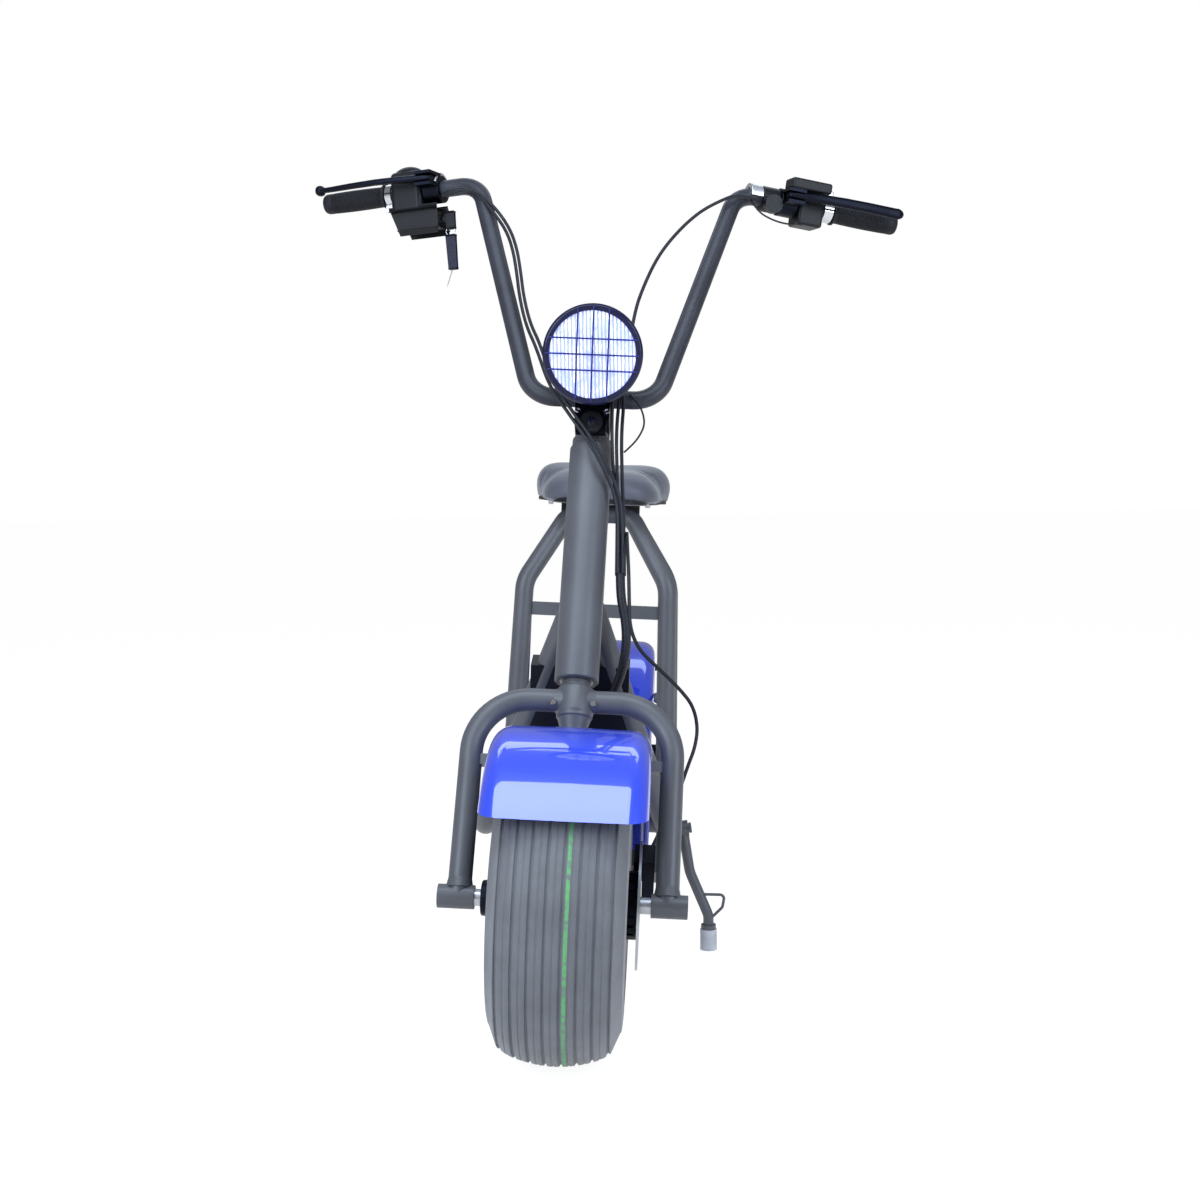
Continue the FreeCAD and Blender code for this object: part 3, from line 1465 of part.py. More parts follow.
keep(head_tube(), STEERING)
keep(head_rings(), STEERING)
keep(cradle(), UPRIGHT)
keep(cross_tubes(), UPRIGHT)
keep(hoop("front_hoop", front_hoop_corners(), "Sizes.hoop_tube / 2"), UPRIGHT)
keep(hoop("rear_hoop", rear_hoop_corners(), "Sizes.rear_hoop_tube / 2"), UPRIGHT)
keep(hoop_plate(), UPRIGHT)
keep(saddle_blocks(), UPRIGHT)
keep(saddle_base(), UPRIGHT)
keep(saddle(), UPRIGHT)
keep(deck_board(), UPRIGHT)
keep(battery_case(), UPRIGHT)
keep(dropouts(), UPRIGHT)
rear_outer = RADIUS + size("rear_fender_gap")
keep(mudguard("rear_fender", rear_outer, size("rear_fender_fore"), size("rear_fender_aft")), REAR_AXLE, "rear_fender")
keep(fender_stays(), UPRIGHT)
keep(tail_lamp(), UPRIGHT)
keep(rear_caliper(), UPRIGHT)
keep(axle("rear_axle", 172, size("rail_half") + size("dropout_thick") / 2, rear_spacers, rear_spacers_left), REAR_AXLE)
keep(stand_bracket(), UPRIGHT)
keep(controller_case(), UPRIGHT)
keep(wiring_lower(), UPRIGHT)

keep(tyre("rear_tyre"), REAR_AXLE)
keep(rear_rim(), REAR_AXLE)
keep(hub_motor(), REAR_AXLE)
keep(disc_carrier("rear_disc_carrier"), REAR_AXLE)
keep(brake_disc("rear_disc"), REAR_AXLE)

keep(stand_leg(), UPRIGHT)
keep(stand_foot(), UPRIGHT)

doc.recompute()

# The parked scooter stands on the ground with its origin under the middle of its box.
low = Vector(1e9, 1e9, 1e9)
high = Vector(-1e9, -1e9, -1e9)
for piece, frame in NODES:
    piece.Placement = LEAN.multiply(frame).multiply(piece.Placement)
doc.recompute()
for piece, frame in NODES:
    points, _ = piece.Shape.tessellate(0.2)
    low = Vector(*[min(low[k], min(p[k] for p in points)) for k in range(3)])
    high = Vector(*[max(high[k], max(p[k] for p in points)) for k in range(3)])
shift = Vector(-(low.x + high.x) / 2, -(low.y + high.y) / 2, -low.z)
print("shift", shift, "size", high - low)
for piece, frame in NODES:
    piece.Placement = Placement(shift, Rotation()).multiply(piece.Placement)
doc.recompute()

for item in doc.Objects:
    if "Invalid" in item.State or "Error" in item.State:
        raise RuntimeError("%s is %s" % (item.Name, item.State))
for piece, frame in NODES:
    shape = piece.Shape
    if shape.isNull() or not shape.isValid():
        raise RuntimeError("%s has no valid shape" % piece.Label)
    shape.exportStep("parts/%s.step" % piece.Label)
print("nodes", len(NODES))
print("front axle", LEAN.multVec(Vector(0, 0, RADIUS)) + shift)
print("rear axle", LEAN.multVec(Vector(0, size("wheelbase"), RADIUS)) + shift)
print("axle direction", LEAN.Rotation.multVec(ACROSS))
print("steering axis", LEAN.multiply(STEERING).Rotation.multVec(UP))
print("stand pivot", LEAN.multVec(stand_pivot()) + shift, "axis", LEAN.Rotation.multVec(stand_axis()))
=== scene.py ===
import json
import math

import bmesh
import bpy
from mathutils import Matrix, Vector


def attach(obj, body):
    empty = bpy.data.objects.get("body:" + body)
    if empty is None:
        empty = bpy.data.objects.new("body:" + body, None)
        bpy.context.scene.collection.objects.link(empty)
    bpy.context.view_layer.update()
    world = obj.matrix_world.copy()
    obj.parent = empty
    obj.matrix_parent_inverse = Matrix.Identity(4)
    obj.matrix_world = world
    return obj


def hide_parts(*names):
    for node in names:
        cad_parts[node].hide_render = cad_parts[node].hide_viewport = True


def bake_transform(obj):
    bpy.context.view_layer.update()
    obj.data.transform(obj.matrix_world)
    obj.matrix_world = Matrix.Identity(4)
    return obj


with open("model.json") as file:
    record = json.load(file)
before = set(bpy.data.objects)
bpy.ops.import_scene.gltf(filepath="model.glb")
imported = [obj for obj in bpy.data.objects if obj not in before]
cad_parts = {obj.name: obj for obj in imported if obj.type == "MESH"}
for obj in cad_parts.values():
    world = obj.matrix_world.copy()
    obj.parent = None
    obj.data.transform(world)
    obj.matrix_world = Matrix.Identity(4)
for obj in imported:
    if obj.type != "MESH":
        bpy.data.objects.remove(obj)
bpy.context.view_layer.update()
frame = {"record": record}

bl_info = {
    "name": "Fat-tyre scooter dressing",
    "version": (1, 0, 0),
    "blender": (4, 5, 0),
    "location": "View3D > Sidebar > Scooter",
    "description": "Finishes and soft parts of a fat-tyre electric scooter",
    "category": "Object",
}

JOINTS = {joint["name"]: joint for joint in frame["record"]["behaviour"]["joints"]}


# Places on the parked scooter, read from its joints

def axes_matrix(origin, left, up):
    """A frame with X to the scooter's left, Y to the rear and Z along up."""
    left = Vector(left).normalized()
    up = Vector(up)
    back = up.cross(left).normalized()
    up = left.cross(back)
    turn = Matrix((left, back, up)).transposed().to_4x4()
    return Matrix.Translation(Vector(origin)) @ turn


AXLE = JOINTS["front_wheel_spin"]["axis"]
STEERING = axes_matrix(JOINTS["steering"]["pos_m"], AXLE, JOINTS["steering"]["axis"])
SCOOTER_UP = Vector(AXLE).cross(Vector((0, 1, 0)))
FRONT_WHEEL = axes_matrix(JOINTS["front_wheel_spin"]["pos_m"], AXLE, SCOOTER_UP)
REAR_WHEEL = axes_matrix(JOINTS["rear_wheel_spin"]["pos_m"], AXLE, SCOOTER_UP)
GROUND = FRONT_WHEEL @ Matrix.Translation((0, 0, -0.225))


# Sizes and colours that a user may change

def length(name, words, value):
    return bpy.props.FloatProperty(name=name, description=words, default=value, unit="LENGTH", min=0)


def colour(name, words, code):
    return bpy.props.FloatVectorProperty(
        name=name, description=words, default=from_hex(code)[:3], subtype="COLOR", size=3, min=0, max=1
    )


def from_hex(code):
    """An sRGB hex colour as linear light."""
    parts = [int(code[index:index + 2], 16) / 255 for index in (1, 3, 5)]
    return [part / 12.92 if part <= 0.04045 else ((part + 0.055) / 1.055) ** 2.4 for part in parts] + [1]


class ScooterTyreSizes(bpy.types.PropertyGroup):
    radius: length("Radius", "Tread radius from the axle", 0.225)
    half_width: length("Half width", "Half the tyre's width", 0.093)
    groove_depth: length("Groove depth", "Depth of the tread grooves", 0.0034)
    groove_width: length("Groove width", "Width of the tread grooves", 0.0052)
    groove_pitch: length("Groove pitch", "Spacing of the tread grooves", 0.0212)


class ScooterColours(bpy.types.PropertyGroup):
    frame_paint: colour("Frame", "Powder coat of frame, fork and handlebar", "#4c4d51")
    guard_paint: colour("Mudguards", "Gloss paint of the mudguards", "#1c3fd2")
    tyre_rubber: colour("Tyres", "Tyre rubber", "#66676b")
    tread_mark: colour("Tread mark", "Painted line round the tread", "#57a35f")
    saddle_cover: colour("Saddle", "Saddle cover", "#4b4c56")
    lamp_glow: colour("Lamp", "Light of the headlamp", "#f6f7ff")


# Shader helpers

def add_node(tree, kind, inputs=None, **settings):
    made = tree.nodes.new(kind)
    for name, value in settings.items():
        setattr(made, name, value)
    for name, value in (inputs or {}).items():
        if isinstance(value, bpy.types.NodeSocket):
            tree.links.new(value, made.inputs[name])
        else:
            made.inputs[name].default_value = value
    return made


def new_material(name):
    material = bpy.data.materials.new(name)
    material.use_nodes = True
    tree = material.node_tree
    shader = tree.nodes["Principled BSDF"]
    return material, tree, shader


def mottled(tree, place, size, detail=4.0, roughness=0.55, distortion=0.0):
    """Noise whose blotches are about size metres across."""
    return add_node(
        tree, "ShaderNodeTexNoise",
        {"Vector": place, "Scale": 1 / size, "Detail": detail, "Roughness": roughness, "Distortion": distortion},
    )


def between(tree, factor, first, second):
    mix = add_node(tree, "ShaderNodeMix", data_type="RGBA")
    mix.inputs[0].default_value = 0.5
    tree.links.new(factor, mix.inputs[0])
    for socket, value in ((mix.inputs[6], first), (mix.inputs[7], second)):
        if isinstance(value, bpy.types.NodeSocket):
            tree.links.new(value, socket)
        else:
            socket.default_value = value
    return mix.outputs[2]


def ranged(tree, value, low, high, from_low=0.3, from_high=0.7):
    return add_node(
        tree, "ShaderNodeMapRange",
        {"Value": value, "From Min": from_low, "From Max": from_high, "To Min": low, "To Max": high},
    ).outputs["Result"]


def finish(
    name, base, shade, roughness, blotch, grain, relief,
    metallic=0.0, coat=0.0, sheen=0.0, specular=0.5, coat_ior=1.5,
):
    """A surface of two close colours in blotches, with a fine grain in its relief and gloss."""
    material, tree, shader = new_material(name)
    place = add_node(tree, "ShaderNodeTexCoord").outputs["Object"]
    broad = mottled(tree, place, blotch, 3.0)
    fine = mottled(tree, place, grain, 5.0, 0.6)
    colours = between(tree, ranged(tree, broad.outputs["Fac"], 0, 1), base, shade)
    tree.links.new(colours, shader.inputs["Base Color"])
    tree.links.new(ranged(tree, fine.outputs["Fac"], roughness[0], roughness[1]), shader.inputs["Roughness"])
    bump = add_node(
        tree, "ShaderNodeBump",
        {"Height": fine.outputs["Fac"], "Distance": relief, "Strength": 1.0},
    )
    tree.links.new(bump.outputs["Normal"], shader.inputs["Normal"])
    shader.inputs["Metallic"].default_value = metallic
    shader.inputs["Coat Weight"].default_value = coat
    shader.inputs["Coat Roughness"].default_value = 0.04
    shader.inputs["Coat IOR"].default_value = coat_ior
    shader.inputs["Sheen Weight"].default_value = sheen
    shader.inputs["Specular IOR Level"].default_value = specular
    return material


def shaded(value, factor):
    return [min(1, part * factor) for part in value[:3]] + [1]


def powder_coat():
    """Charcoal powder coat: a fine orange peel breaks up each highlight."""
    base = list(bpy.context.scene.scooter_colours.frame_paint) + [1]
    return finish("charcoal_powder_coat", base, shaded(base, 1.25), (0.36, 0.46), 0.09, 0.0012, 0.00006)


def gloss_paint():
    """Royal blue lacquer: even colour under a clear coat, so reflections stay sharp."""
    base = list(bpy.context.scene.scooter_colours.guard_paint) + [1]
    return finish(
        "royal_blue_lacquer", base, shaded(base, 1.18), (0.3, 0.38), 0.25, 0.004, 0.000004,
        metallic=0.15, coat=1.0, coat_ior=1.8,
    )


def tyre_rubber():
    """Moulded tyre rubber: a dusty bloom in broad patches and a fine matt grain."""
    base = list(bpy.context.scene.scooter_colours.tyre_rubber) + [1]
    return finish("moulded_tyre_rubber", base, shaded(base, 0.72), (0.5, 0.68), 0.06, 0.0015, 0.00012, sheen=0.25)


def tread_mark():
    """Thin paint line on the tread, rubbed through to the rubber in places."""
    colours = bpy.context.scene.scooter_colours
    line = list(colours.tread_mark) + [1]
    rubber = list(colours.tyre_rubber) + [1]
    material, tree, shader = new_material("rubbed_tread_line")
    place = add_node(tree, "ShaderNodeTexCoord").outputs["Object"]
    worn = mottled(tree, place, 0.008, 6.0, 0.7)
    rubbed = between(tree, ranged(tree, worn.outputs["Fac"], 0, 1, 0.35, 0.55), rubber, line)
    tree.links.new(rubbed, shader.inputs["Base Color"])
    tree.links.new(ranged(tree, worn.outputs["Fac"], 0.5, 0.65), shader.inputs["Roughness"])
    return material


def satin_metal(name, code, roughness=(0.28, 0.42)):
    """Turned or brushed metal with faint handling marks."""
    base = from_hex(code)
    return finish(name, base, shaded(base, 0.8), roughness, 0.03, 0.0008, 0.00003, metallic=1.0)


def moulded_plastic(name, code, roughness=(0.38, 0.52), grain=0.0009):
    """Injection-moulded plastic: fine spark grain, a little paler where it is rubbed."""
    base = from_hex(code)
    return finish(name, base, shaded(base, 1.5), roughness, 0.04, grain, 0.00005, specular=0.3)


def lit_lens():
    """Fluted lamp glass lit from behind: bright cells with faint blue and yellow tints."""
    material, tree, shader = new_material("lit_fluted_glass")
    place = add_node(tree, "ShaderNodeTexCoord").outputs["Object"]
    flutes = add_node(
        tree, "ShaderNodeTexWave",
        {"Vector": place, "Scale": 55.0, "Distortion": 1.2, "Detail": 2.0, "Detail Scale": 3.0},
        wave_type="BANDS", bands_direction="X",
    )
    cells = mottled(tree, place, 0.022, 3.0, 0.6, 0.4)
    glow = list(bpy.context.scene.scooter_colours.lamp_glow) + [1]
    tint = between(tree, ranged(tree, cells.outputs["Fac"], 0, 1, 0.4, 0.6), from_hex("#b4bbf6"), glow)
    striped = between(tree, ranged(tree, flutes.outputs["Fac"], 0, 1, 0.25, 0.75), from_hex("#8f99e8"), tint)
    tree.links.new(striped, shader.inputs["Base Color"])
    shader.inputs["Roughness"].default_value = 0.12
    shader.inputs["Coat Weight"].default_value = 1.0
    tree.links.new(striped, shader.inputs["Emission Color"])
    shader.inputs["Emission Strength"].default_value = 0.66
    relief = {"Height": flutes.outputs["Fac"], "Distance": 0.0006, "Strength": 1.0}
    bump = add_node(tree, "ShaderNodeBump", relief)
    tree.links.new(bump.outputs["Normal"], shader.inputs["Normal"])
    return material


def saddle_cover():
    """Grained vinyl stretched over foam: pebbled relief and a soft sheen at the edges."""
    base = list(bpy.context.scene.scooter_colours.saddle_cover) + [1]
    material, tree, shader = new_material("grained_saddle_vinyl")
    place = add_node(tree, "ShaderNodeTexCoord").outputs["Object"]
    pebbles = add_node(tree, "ShaderNodeTexVoronoi", {"Vector": place, "Scale": 600.0}, feature="SMOOTH_F1")
    broad = mottled(tree, place, 0.08, 3.0)
    colours = between(tree, ranged(tree, broad.outputs["Fac"], 0, 1), base, shaded(base, 1.25))
    tree.links.new(colours, shader.inputs["Base Color"])
    tree.links.new(ranged(tree, pebbles.outputs["Distance"], 0.42, 0.6, 0, 1), shader.inputs["Roughness"])
    relief = {"Height": pebbles.outputs["Distance"], "Distance": 0.0003, "Strength": 0.8}
    bump = add_node(tree, "ShaderNodeBump", relief)
    tree.links.new(bump.outputs["Normal"], shader.inputs["Normal"])
    shader.inputs["Sheen Weight"].default_value = 0.5
    shader.inputs["Sheen Roughness"].default_value = 0.35
    return material


FINISHES = {}


def make_finishes():
    FINISHES["powder"] = powder_coat()
    FINISHES["lacquer"] = gloss_paint()
    FINISHES["rubber"] = tyre_rubber()
    FINISHES["line"] = tread_mark()
    FINISHES["steel"] = satin_metal("zinc_plated_steel", "#b9bbc0")
    FINISHES["chrome"] = satin_metal("polished_chrome", "#d8dade", (0.08, 0.16))
    FINISHES["silver"] = satin_metal("satin_silver_clamp", "#e6e7ec", (0.34, 0.46))
    FINISHES["dark_alloy"] = satin_metal("black_anodised_aluminium", "#1f212a", (0.35, 0.5))
    FINISHES["bar"] = moulded_plastic("black_bar_coat", "#2c2d33", (0.36, 0.46), 0.0012)
    FINISHES["black"] = moulded_plastic("black_spark_grain_plastic", "#0c0d11")
    FINISHES["navy"] = moulded_plastic("dark_gloss_lamp_plastic", "#0f1230", (0.15, 0.25), 0.003)
    FINISHES["guard"] = moulded_plastic("blue_black_guard_lacquer", "#1a1f5c", (0.2, 0.3), 0.003)
    FINISHES["cable"] = moulded_plastic("black_cable_jacket", "#16171e", (0.4, 0.52), 0.0012)
    FINISHES["grip"] = moulded_plastic("black_grip_rubber", "#0f1015", (0.5, 0.65))
    FINISHES["foot"] = moulded_plastic("grey_foot_rubber", "#b3b3b8", (0.5, 0.65))
    FINISHES["red"] = moulded_plastic("red_lamp_plastic", "#8e1016", (0.1, 0.2), 0.004)
    FINISHES["deck"] = moulded_plastic("ribbed_deck_rubber", "#222327", (0.55, 0.7))
    FINISHES["tag"] = moulded_plastic("dark_tag_plastic", "#14152a", (0.2, 0.3))
    FINISHES["saddle"] = saddle_cover()
    FINISHES["lens"] = lit_lens()


NODE_FINISH = {
    "powder": (
        "head_tube", "cradle_tubes", "cross_tubes", "front_hoop", "rear_hoop", "hoop_plate", "dropout_plates",
        "fork", "lamp_bracket", "stem_cap", "stand_leg", "stand_bracket", "fender_stays",
    ),
    "bar": ("handlebar",),
    "lacquer": ("front_fender", "rear_fender"),
    "rubber": ("front_tyre", "rear_tyre"),
    "steel": ("head_rings", "front_axle", "rear_axle", "front_disc", "rear_disc"),
    "chrome": ("clamp_bolts", "grip_rings"),
    "dark_alloy": (
        "handlebar_clamp", "lever_perches", "brake_levers", "front_rim", "rear_rim", "hub_motor",
        "front_disc_carrier", "rear_disc_carrier", "front_caliper", "rear_caliper",
    ),
    "black": (
        "clamp_button", "throttle_housing", "key_switch", "key", "switch_box", "brake_reservoir", "horn_knob",
        "saddle_base", "saddle_blocks", "battery_case", "controller_case",
    ),
    "cable": ("wiring_upper", "wiring_lower", "front_brake_hose"),
    "navy": ("lamp_shell",),
    "guard": ("lamp_guard",),
    "grip": ("grips",),
    "foot": ("stand_foot",),
    "red": ("tail_lamp",),
    "deck": ("deck_board",),
    "tag": ("key_fob",),
    "saddle": ("saddle",),
    "lens": ("lamp_lens",),
}


# Mesh helpers

def new_piece(name, mesh_maker, body, finishes, place=None, smooth=35):
    """Builds a piece in its own frame, then puts its place into its mesh."""
    mesh = bpy.data.meshes.new(name)
    shape = bmesh.new()
    mesh_maker(shape)
    if place is not None:
        bmesh.ops.transform(shape, matrix=place, verts=shape.verts)
    bmesh.ops.recalc_face_normals(shape, faces=shape.faces)
    shape.to_mesh(mesh)
    shape.free()
    piece = bpy.data.objects.new(name, mesh)
    bpy.context.collection.objects.link(piece)
    for finish_name in finishes:
        mesh.materials.append(FINISHES[finish_name])
    mesh.shade_smooth()
    mesh.set_sharp_from_angle(angle=math.radians(smooth))
    if body:
        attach(piece, body)
    return piece


# Tyres

# The tread's crown curves over this radius as far as its shoulders, which then fall away more steeply
CROWN_RADIUS = 0.170
SHOULDER_START = 0.055
# Rounded groove across its half width: (share of the half width, share of the depth)
GROOVE_SHAPE = ((-1.5, 0), (-1.0, 0.12), (-0.55, 0.85), (0, 1), (0.55, 0.85), (1.0, 0.12), (1.5, 0))
# Fine slit in the middle of each rib: (across, deep)
RIB_SLIT = ((-0.0016, 0), (-0.0006, 0.0009), (0.0006, 0.0009), (0.0016, 0))
# Sidewall from the bead to the tread's edge: (across, from the axle)
SIDEWALL_START = (
    (-0.076, 0.1125), (-0.0885, 0.1165), (-0.0905, 0.1245), (-0.0922, 0.134), (-0.0922, 0.1362), (-0.0934, 0.1372),
)
SIDEWALL_END = ((-0.0918, 0.172), (-0.0912, 0.1745), (-0.0898, 0.1762))
BEAD_SEAT = ((0.063, 0.1018), (-0.063, 0.1018))


def tread_height(sizes, across):
    """Radius of the tread surface at a distance from the middle."""
    if abs(across) <= SHOULDER_START:
        return sizes.radius - across * across / (2 * CROWN_RADIUS)
    past = abs(across) - SHOULDER_START - 0.0003
    return sizes.radius - 0.0089 - past * 0.324 - past * past * 9.0


def tyre_section(sizes):
    """Half-section points from bead to bead, with rounded grooves between the ribs."""
    points = [*SIDEWALL_START, (-sizes.half_width, 0.158), *SIDEWALL_END]
    half_open = sizes.groove_width / 2
    grooves = [(index - 3.5) * sizes.groove_pitch for index in range(8)]
    for middle in grooves:
        for share, drop in GROOVE_SHAPE:
            across = middle + share * half_open
            points.append((across, tread_height(sizes, across) - drop * sizes.groove_depth))
        rib = middle + sizes.groove_pitch / 2
        if middle != grooves[-1]:
            for share, drop in RIB_SLIT:
                points.append((rib + share, tread_height(sizes, rib + share) - drop))
    points += [(-x, y) for x, y in points[9::-1]]
    return points


def tyre_shape(sizes):
    section = [*tyre_section(sizes), *BEAD_SEAT]

    def build(shape):
        verts = [shape.verts.new((across, 0, high)) for across, high in section]
        edges = [shape.edges.new((verts[index - 1], verts[index])) for index in range(len(verts))]
        bmesh.ops.spin(
            shape, geom=verts + edges, cent=(0, 0, 0), axis=(1, 0, 0), angle=math.tau, steps=160,
            use_merge=True,
        )
        bmesh.ops.remove_doubles(shape, verts=shape.verts, dist=1e-5)
        line = sizes.groove_pitch * 0.5 + sizes.groove_width / 2 + 0.0037
        for face in shape.faces:
            middle = face.calc_center_median()
            if abs(middle.x - line) < 0.0025 and middle.yz.length > 0.2:
                face.material_index = 1
    return build


class SCOOTER_OT_tyres(bpy.types.Operator):
    """Ribbed tyres in place of the plain ones"""
    bl_idname = "scooter.tyres"
    bl_label = "Tyres"

    def execute(self, context):
        sizes = context.scene.scooter_tyres
        for node, body, place in (
            ("front_tyre", "front_wheel", FRONT_WHEEL), ("rear_tyre", "rear_wheel", REAR_WHEEL),
        ):
            finishes = ("rubber", "line")
            piece = new_piece(node + "_ribbed", tyre_shape(sizes), body, finishes, place)
            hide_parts(node)
        return {"FINISHED"}


# Handlebar frames, measured out along the bar from its upper bends

BAR_BEND = Vector((0.216, 0, 1.21))
BAR_END = Vector((0.492, 0.1, 1.229))
BAR_LONG = (BAR_END - BAR_BEND).length
RISER_LEAN = STEERING.inverted().to_3x3() @ (GROUND.to_3x3() @ Vector((0, 0, 1)))


def on_bar(side, out, back=0.0, up=0.0):
    """Frame on the bar: X to the left along it, Y back, Z up."""
    mirror = Vector((side, 1, 1))
    corner = BAR_BEND * mirror
    along = (BAR_END * mirror - corner).normalized()
    left = along * side
    rise = (RISER_LEAN - left * RISER_LEAN.dot(left)).normalized()
    rear = rise.cross(left)
    turn = Matrix((left, rear, rise)).transposed().to_4x4()
    return STEERING @ Matrix.Translation(corner + along * out + rear * back + rise * up) @ turn


def spun(profile, steps=64, upright=False):
    """Turns (along, radius) corners about X, or about Z where upright."""
    def build(shape):
        corners = [(radius, 0, along) if upright else (along, 0, radius) for along, radius in profile]
        axis = (0, 0, 1) if upright else (1, 0, 0)
        verts = [shape.verts.new(corner) for corner in corners]
        edges = [shape.edges.new(pair) for pair in zip(verts, verts[1:])]
        bmesh.ops.spin(
            shape, geom=verts + edges, cent=(0, 0, 0), axis=axis, angle=math.tau, steps=steps, use_merge=True
        )
        bmesh.ops.remove_doubles(shape, verts=shape.verts, dist=1e-6)
    return build


GRIP_LONG = 0.120
GRIP_FLANGE = ((0, 0.0145), (0, 0.0203), (0.0012, 0.021), (0.004, 0.021), (0.0055, 0.0195), (0.0072, 0.0168))
GRIP_END = ((-0.012, 0.0172), (-0.003, 0.017), (0.0008, 0.0152), (0.0018, 0.012), (0.0018, 0))
GRIP_RIB_PITCH = 0.0035
GRIP_RIB_DEEP = 0.0009


def grip_profile(side):
    """A flanged grip whose middle has fine ribs between two smooth bands."""
    points = list(GRIP_FLANGE)
    place = 0.0105
    while place < GRIP_LONG - 0.016:
        top = 0.0168 + 0.0011 * math.sin(math.pi * place / GRIP_LONG)
        low = top - GRIP_RIB_DEEP
        points += [(place, low), (place + 0.0007, top), (place + 0.0021, top), (place + 0.0028, low)]
        place += GRIP_RIB_PITCH
    points += [(GRIP_LONG + past, radius) for past, radius in GRIP_END]
    return [(side * along, radius) for along, radius in points]


class SCOOTER_OT_grips(bpy.types.Operator):
    """Ribbed rubber grips in place of the plain ones"""
    bl_idname = "scooter.grips"
    bl_label = "Grips"

    def execute(self, context):
        for label, side in (("right", -1), ("left", 1)):
            place = on_bar(side, BAR_LONG - GRIP_LONG)
            piece = new_piece(
                "grip_%s_ribbed" % label, spun(grip_profile(side)), "fork", ("grip",), place
            )
            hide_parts("grips")
        return {"FINISHED"}


# Levers, key and bright clamp bands

# Brake lever blades: out along the bar, back, up, half depth and half height, in millimetres
LEVER_RINGS = {
    -1: (
        (71, -36, 13, 8, 5), (74, -36, 13, 11, 6.5), (92, -38, 13, 12, 6.5), (106, -45, 13, 9, 6),
        (128, -51, 13.5, 6.5, 5.6), (170, -54, 14, 5.5, 5.2), (215, -53.5, 13.5, 5.3, 5), (250, -51.5, 13, 5, 4.6),
        (269, -50.5, 13, 4.6, 4.4),
    ),
    1: (
        (78, -36, 7, 8, 5), (81, -36, 7, 11, 6.5), (98, -38, 7, 12, 6.8), (112, -45, 7.5, 9, 7.2),
        (134, -51, 8, 6.5, 7.8), (175, -54, 8.5, 5.8, 8.4), (220, -53.5, 9, 5.6, 8.6), (255, -51.5, 9, 5.4, 8.8),
        (271, -50.5, 9, 5.4, 9),
    ),
}
# The right lever's ball, its middle out along the bar, and the left lever's rounded lip
BALL_OUT = 277.5
BALL_RADIUS = 9
LIP_LONG = 15
# Rings of the key's blade and of its barrel, told as the levers' are
FOB_BLADE = ((58, 0, -135, 1.4, 1.4), (61, 0, -141, 1.5, 1.5), (69, 0, -160, 1.2, 1.2), (71, 0, -165, 0.5, 0.5))
KEY_BARREL = ((67, 0, -50, 5, 5), (68, 0, -50, 8, 8), (82, 0, -50, 8, 8))


def lever_rings(side):
    """The blade's rings with its rounded end: a ball on the right, a broad lip on the left."""
    rings = list(LEVER_RINGS[side])
    out, back, up, deep, high = rings[-1]
    if side < 0:
        for step in range(1, 9):
            turn = math.pi * (0.17 + 0.83 * step / 9)
            wide = BALL_RADIUS * math.sin(turn)
            rings.append((BALL_OUT - BALL_RADIUS * math.cos(turn), back, up, wide, wide))
    else:
        for step in range(1, 7):
            turn = math.pi / 2 * step / 7
            narrow = math.cos(turn)
            rings.append((out + LIP_LONG * math.sin(turn), back, up, deep * narrow + 0.6, high * narrow + 0.6))
    return rings


def lofted(side, rings, count=20, power=2.6):
    """Extrudes a circle ring by ring, then gives each ring its rounded section, in millimetres."""
    def build(shape):
        bmesh.ops.create_circle(shape, radius=1, segments=count)
        first = last = list(shape.edges)
        for _ in rings[1:]:
            grown = bmesh.ops.extrude_edge_only(shape, edges=last)["geom"]
            new = {item for item in grown if isinstance(item, bmesh.types.BMVert)}
            bmesh.ops.translate(shape, vec=(0, 0, 1), verts=list(new))
            last = [edge for edge in shape.edges if new.issuperset(edge.verts)]
        bmesh.ops.edgeloop_fill(shape, edges=first + last)
        for vert in shape.verts:
            out, back, up, deep, high = rings[round(vert.co.z)]
            across, rise = (math.copysign(abs(part) ** (2 / power), part) for part in vert.co.xy)
            vert.co = Vector((side * out, back + deep * across, up + high * rise)) / 1000
    return build


def band(side, start, end, inner, outer, low_turn, high_turn):
    """Part of a bright collar round the bar, from one turn to another, in millimetres and degrees."""
    edge = 0.8
    section = (
        (start, inner), (start, outer - edge), (start + edge, outer),
        (end - edge, outer), (end, outer - edge), (end, inner),
    )

    def build(shape):
        verts = [shape.verts.new((side * out / 1000, -far / 1000, 0)) for out, far in section]
        cap = shape.faces.new(verts)
        about = {"cent": (0, 0, 0), "verts": verts}
        bmesh.ops.rotate(shape, matrix=Matrix.Rotation(-math.radians(low_turn), 3, "X"), **about)
        bmesh.ops.spin(
            shape, geom=[*verts, *cap.edges, cap], cent=(0, 0, 0), axis=(-1, 0, 0),
            angle=math.radians(high_turn - low_turn), steps=28,
        )
    return build


def rounded_block(side, low, high, radius, lean=0.0):
    """A moulded block between two corners in millimetres; its outer side leans in towards the bottom."""
    def build(shape):
        bmesh.ops.create_cube(shape, size=1.0)
        for vert in shape.verts:
            out, back, up = (low[k] + (high[k] - low[k]) * (vert.co[k] + 0.5) for k in range(3))
            if vert.co.x > 0:
                out -= lean * (high[2] - up)
            vert.co = Vector((side * out, back, up)) / 1000
        bmesh.ops.bevel(
            shape, geom=list(shape.edges), offset=radius / 1000, offset_type="OFFSET", segments=5, profile=0.5,
            affect="EDGES", material=-1,
        )
    return build


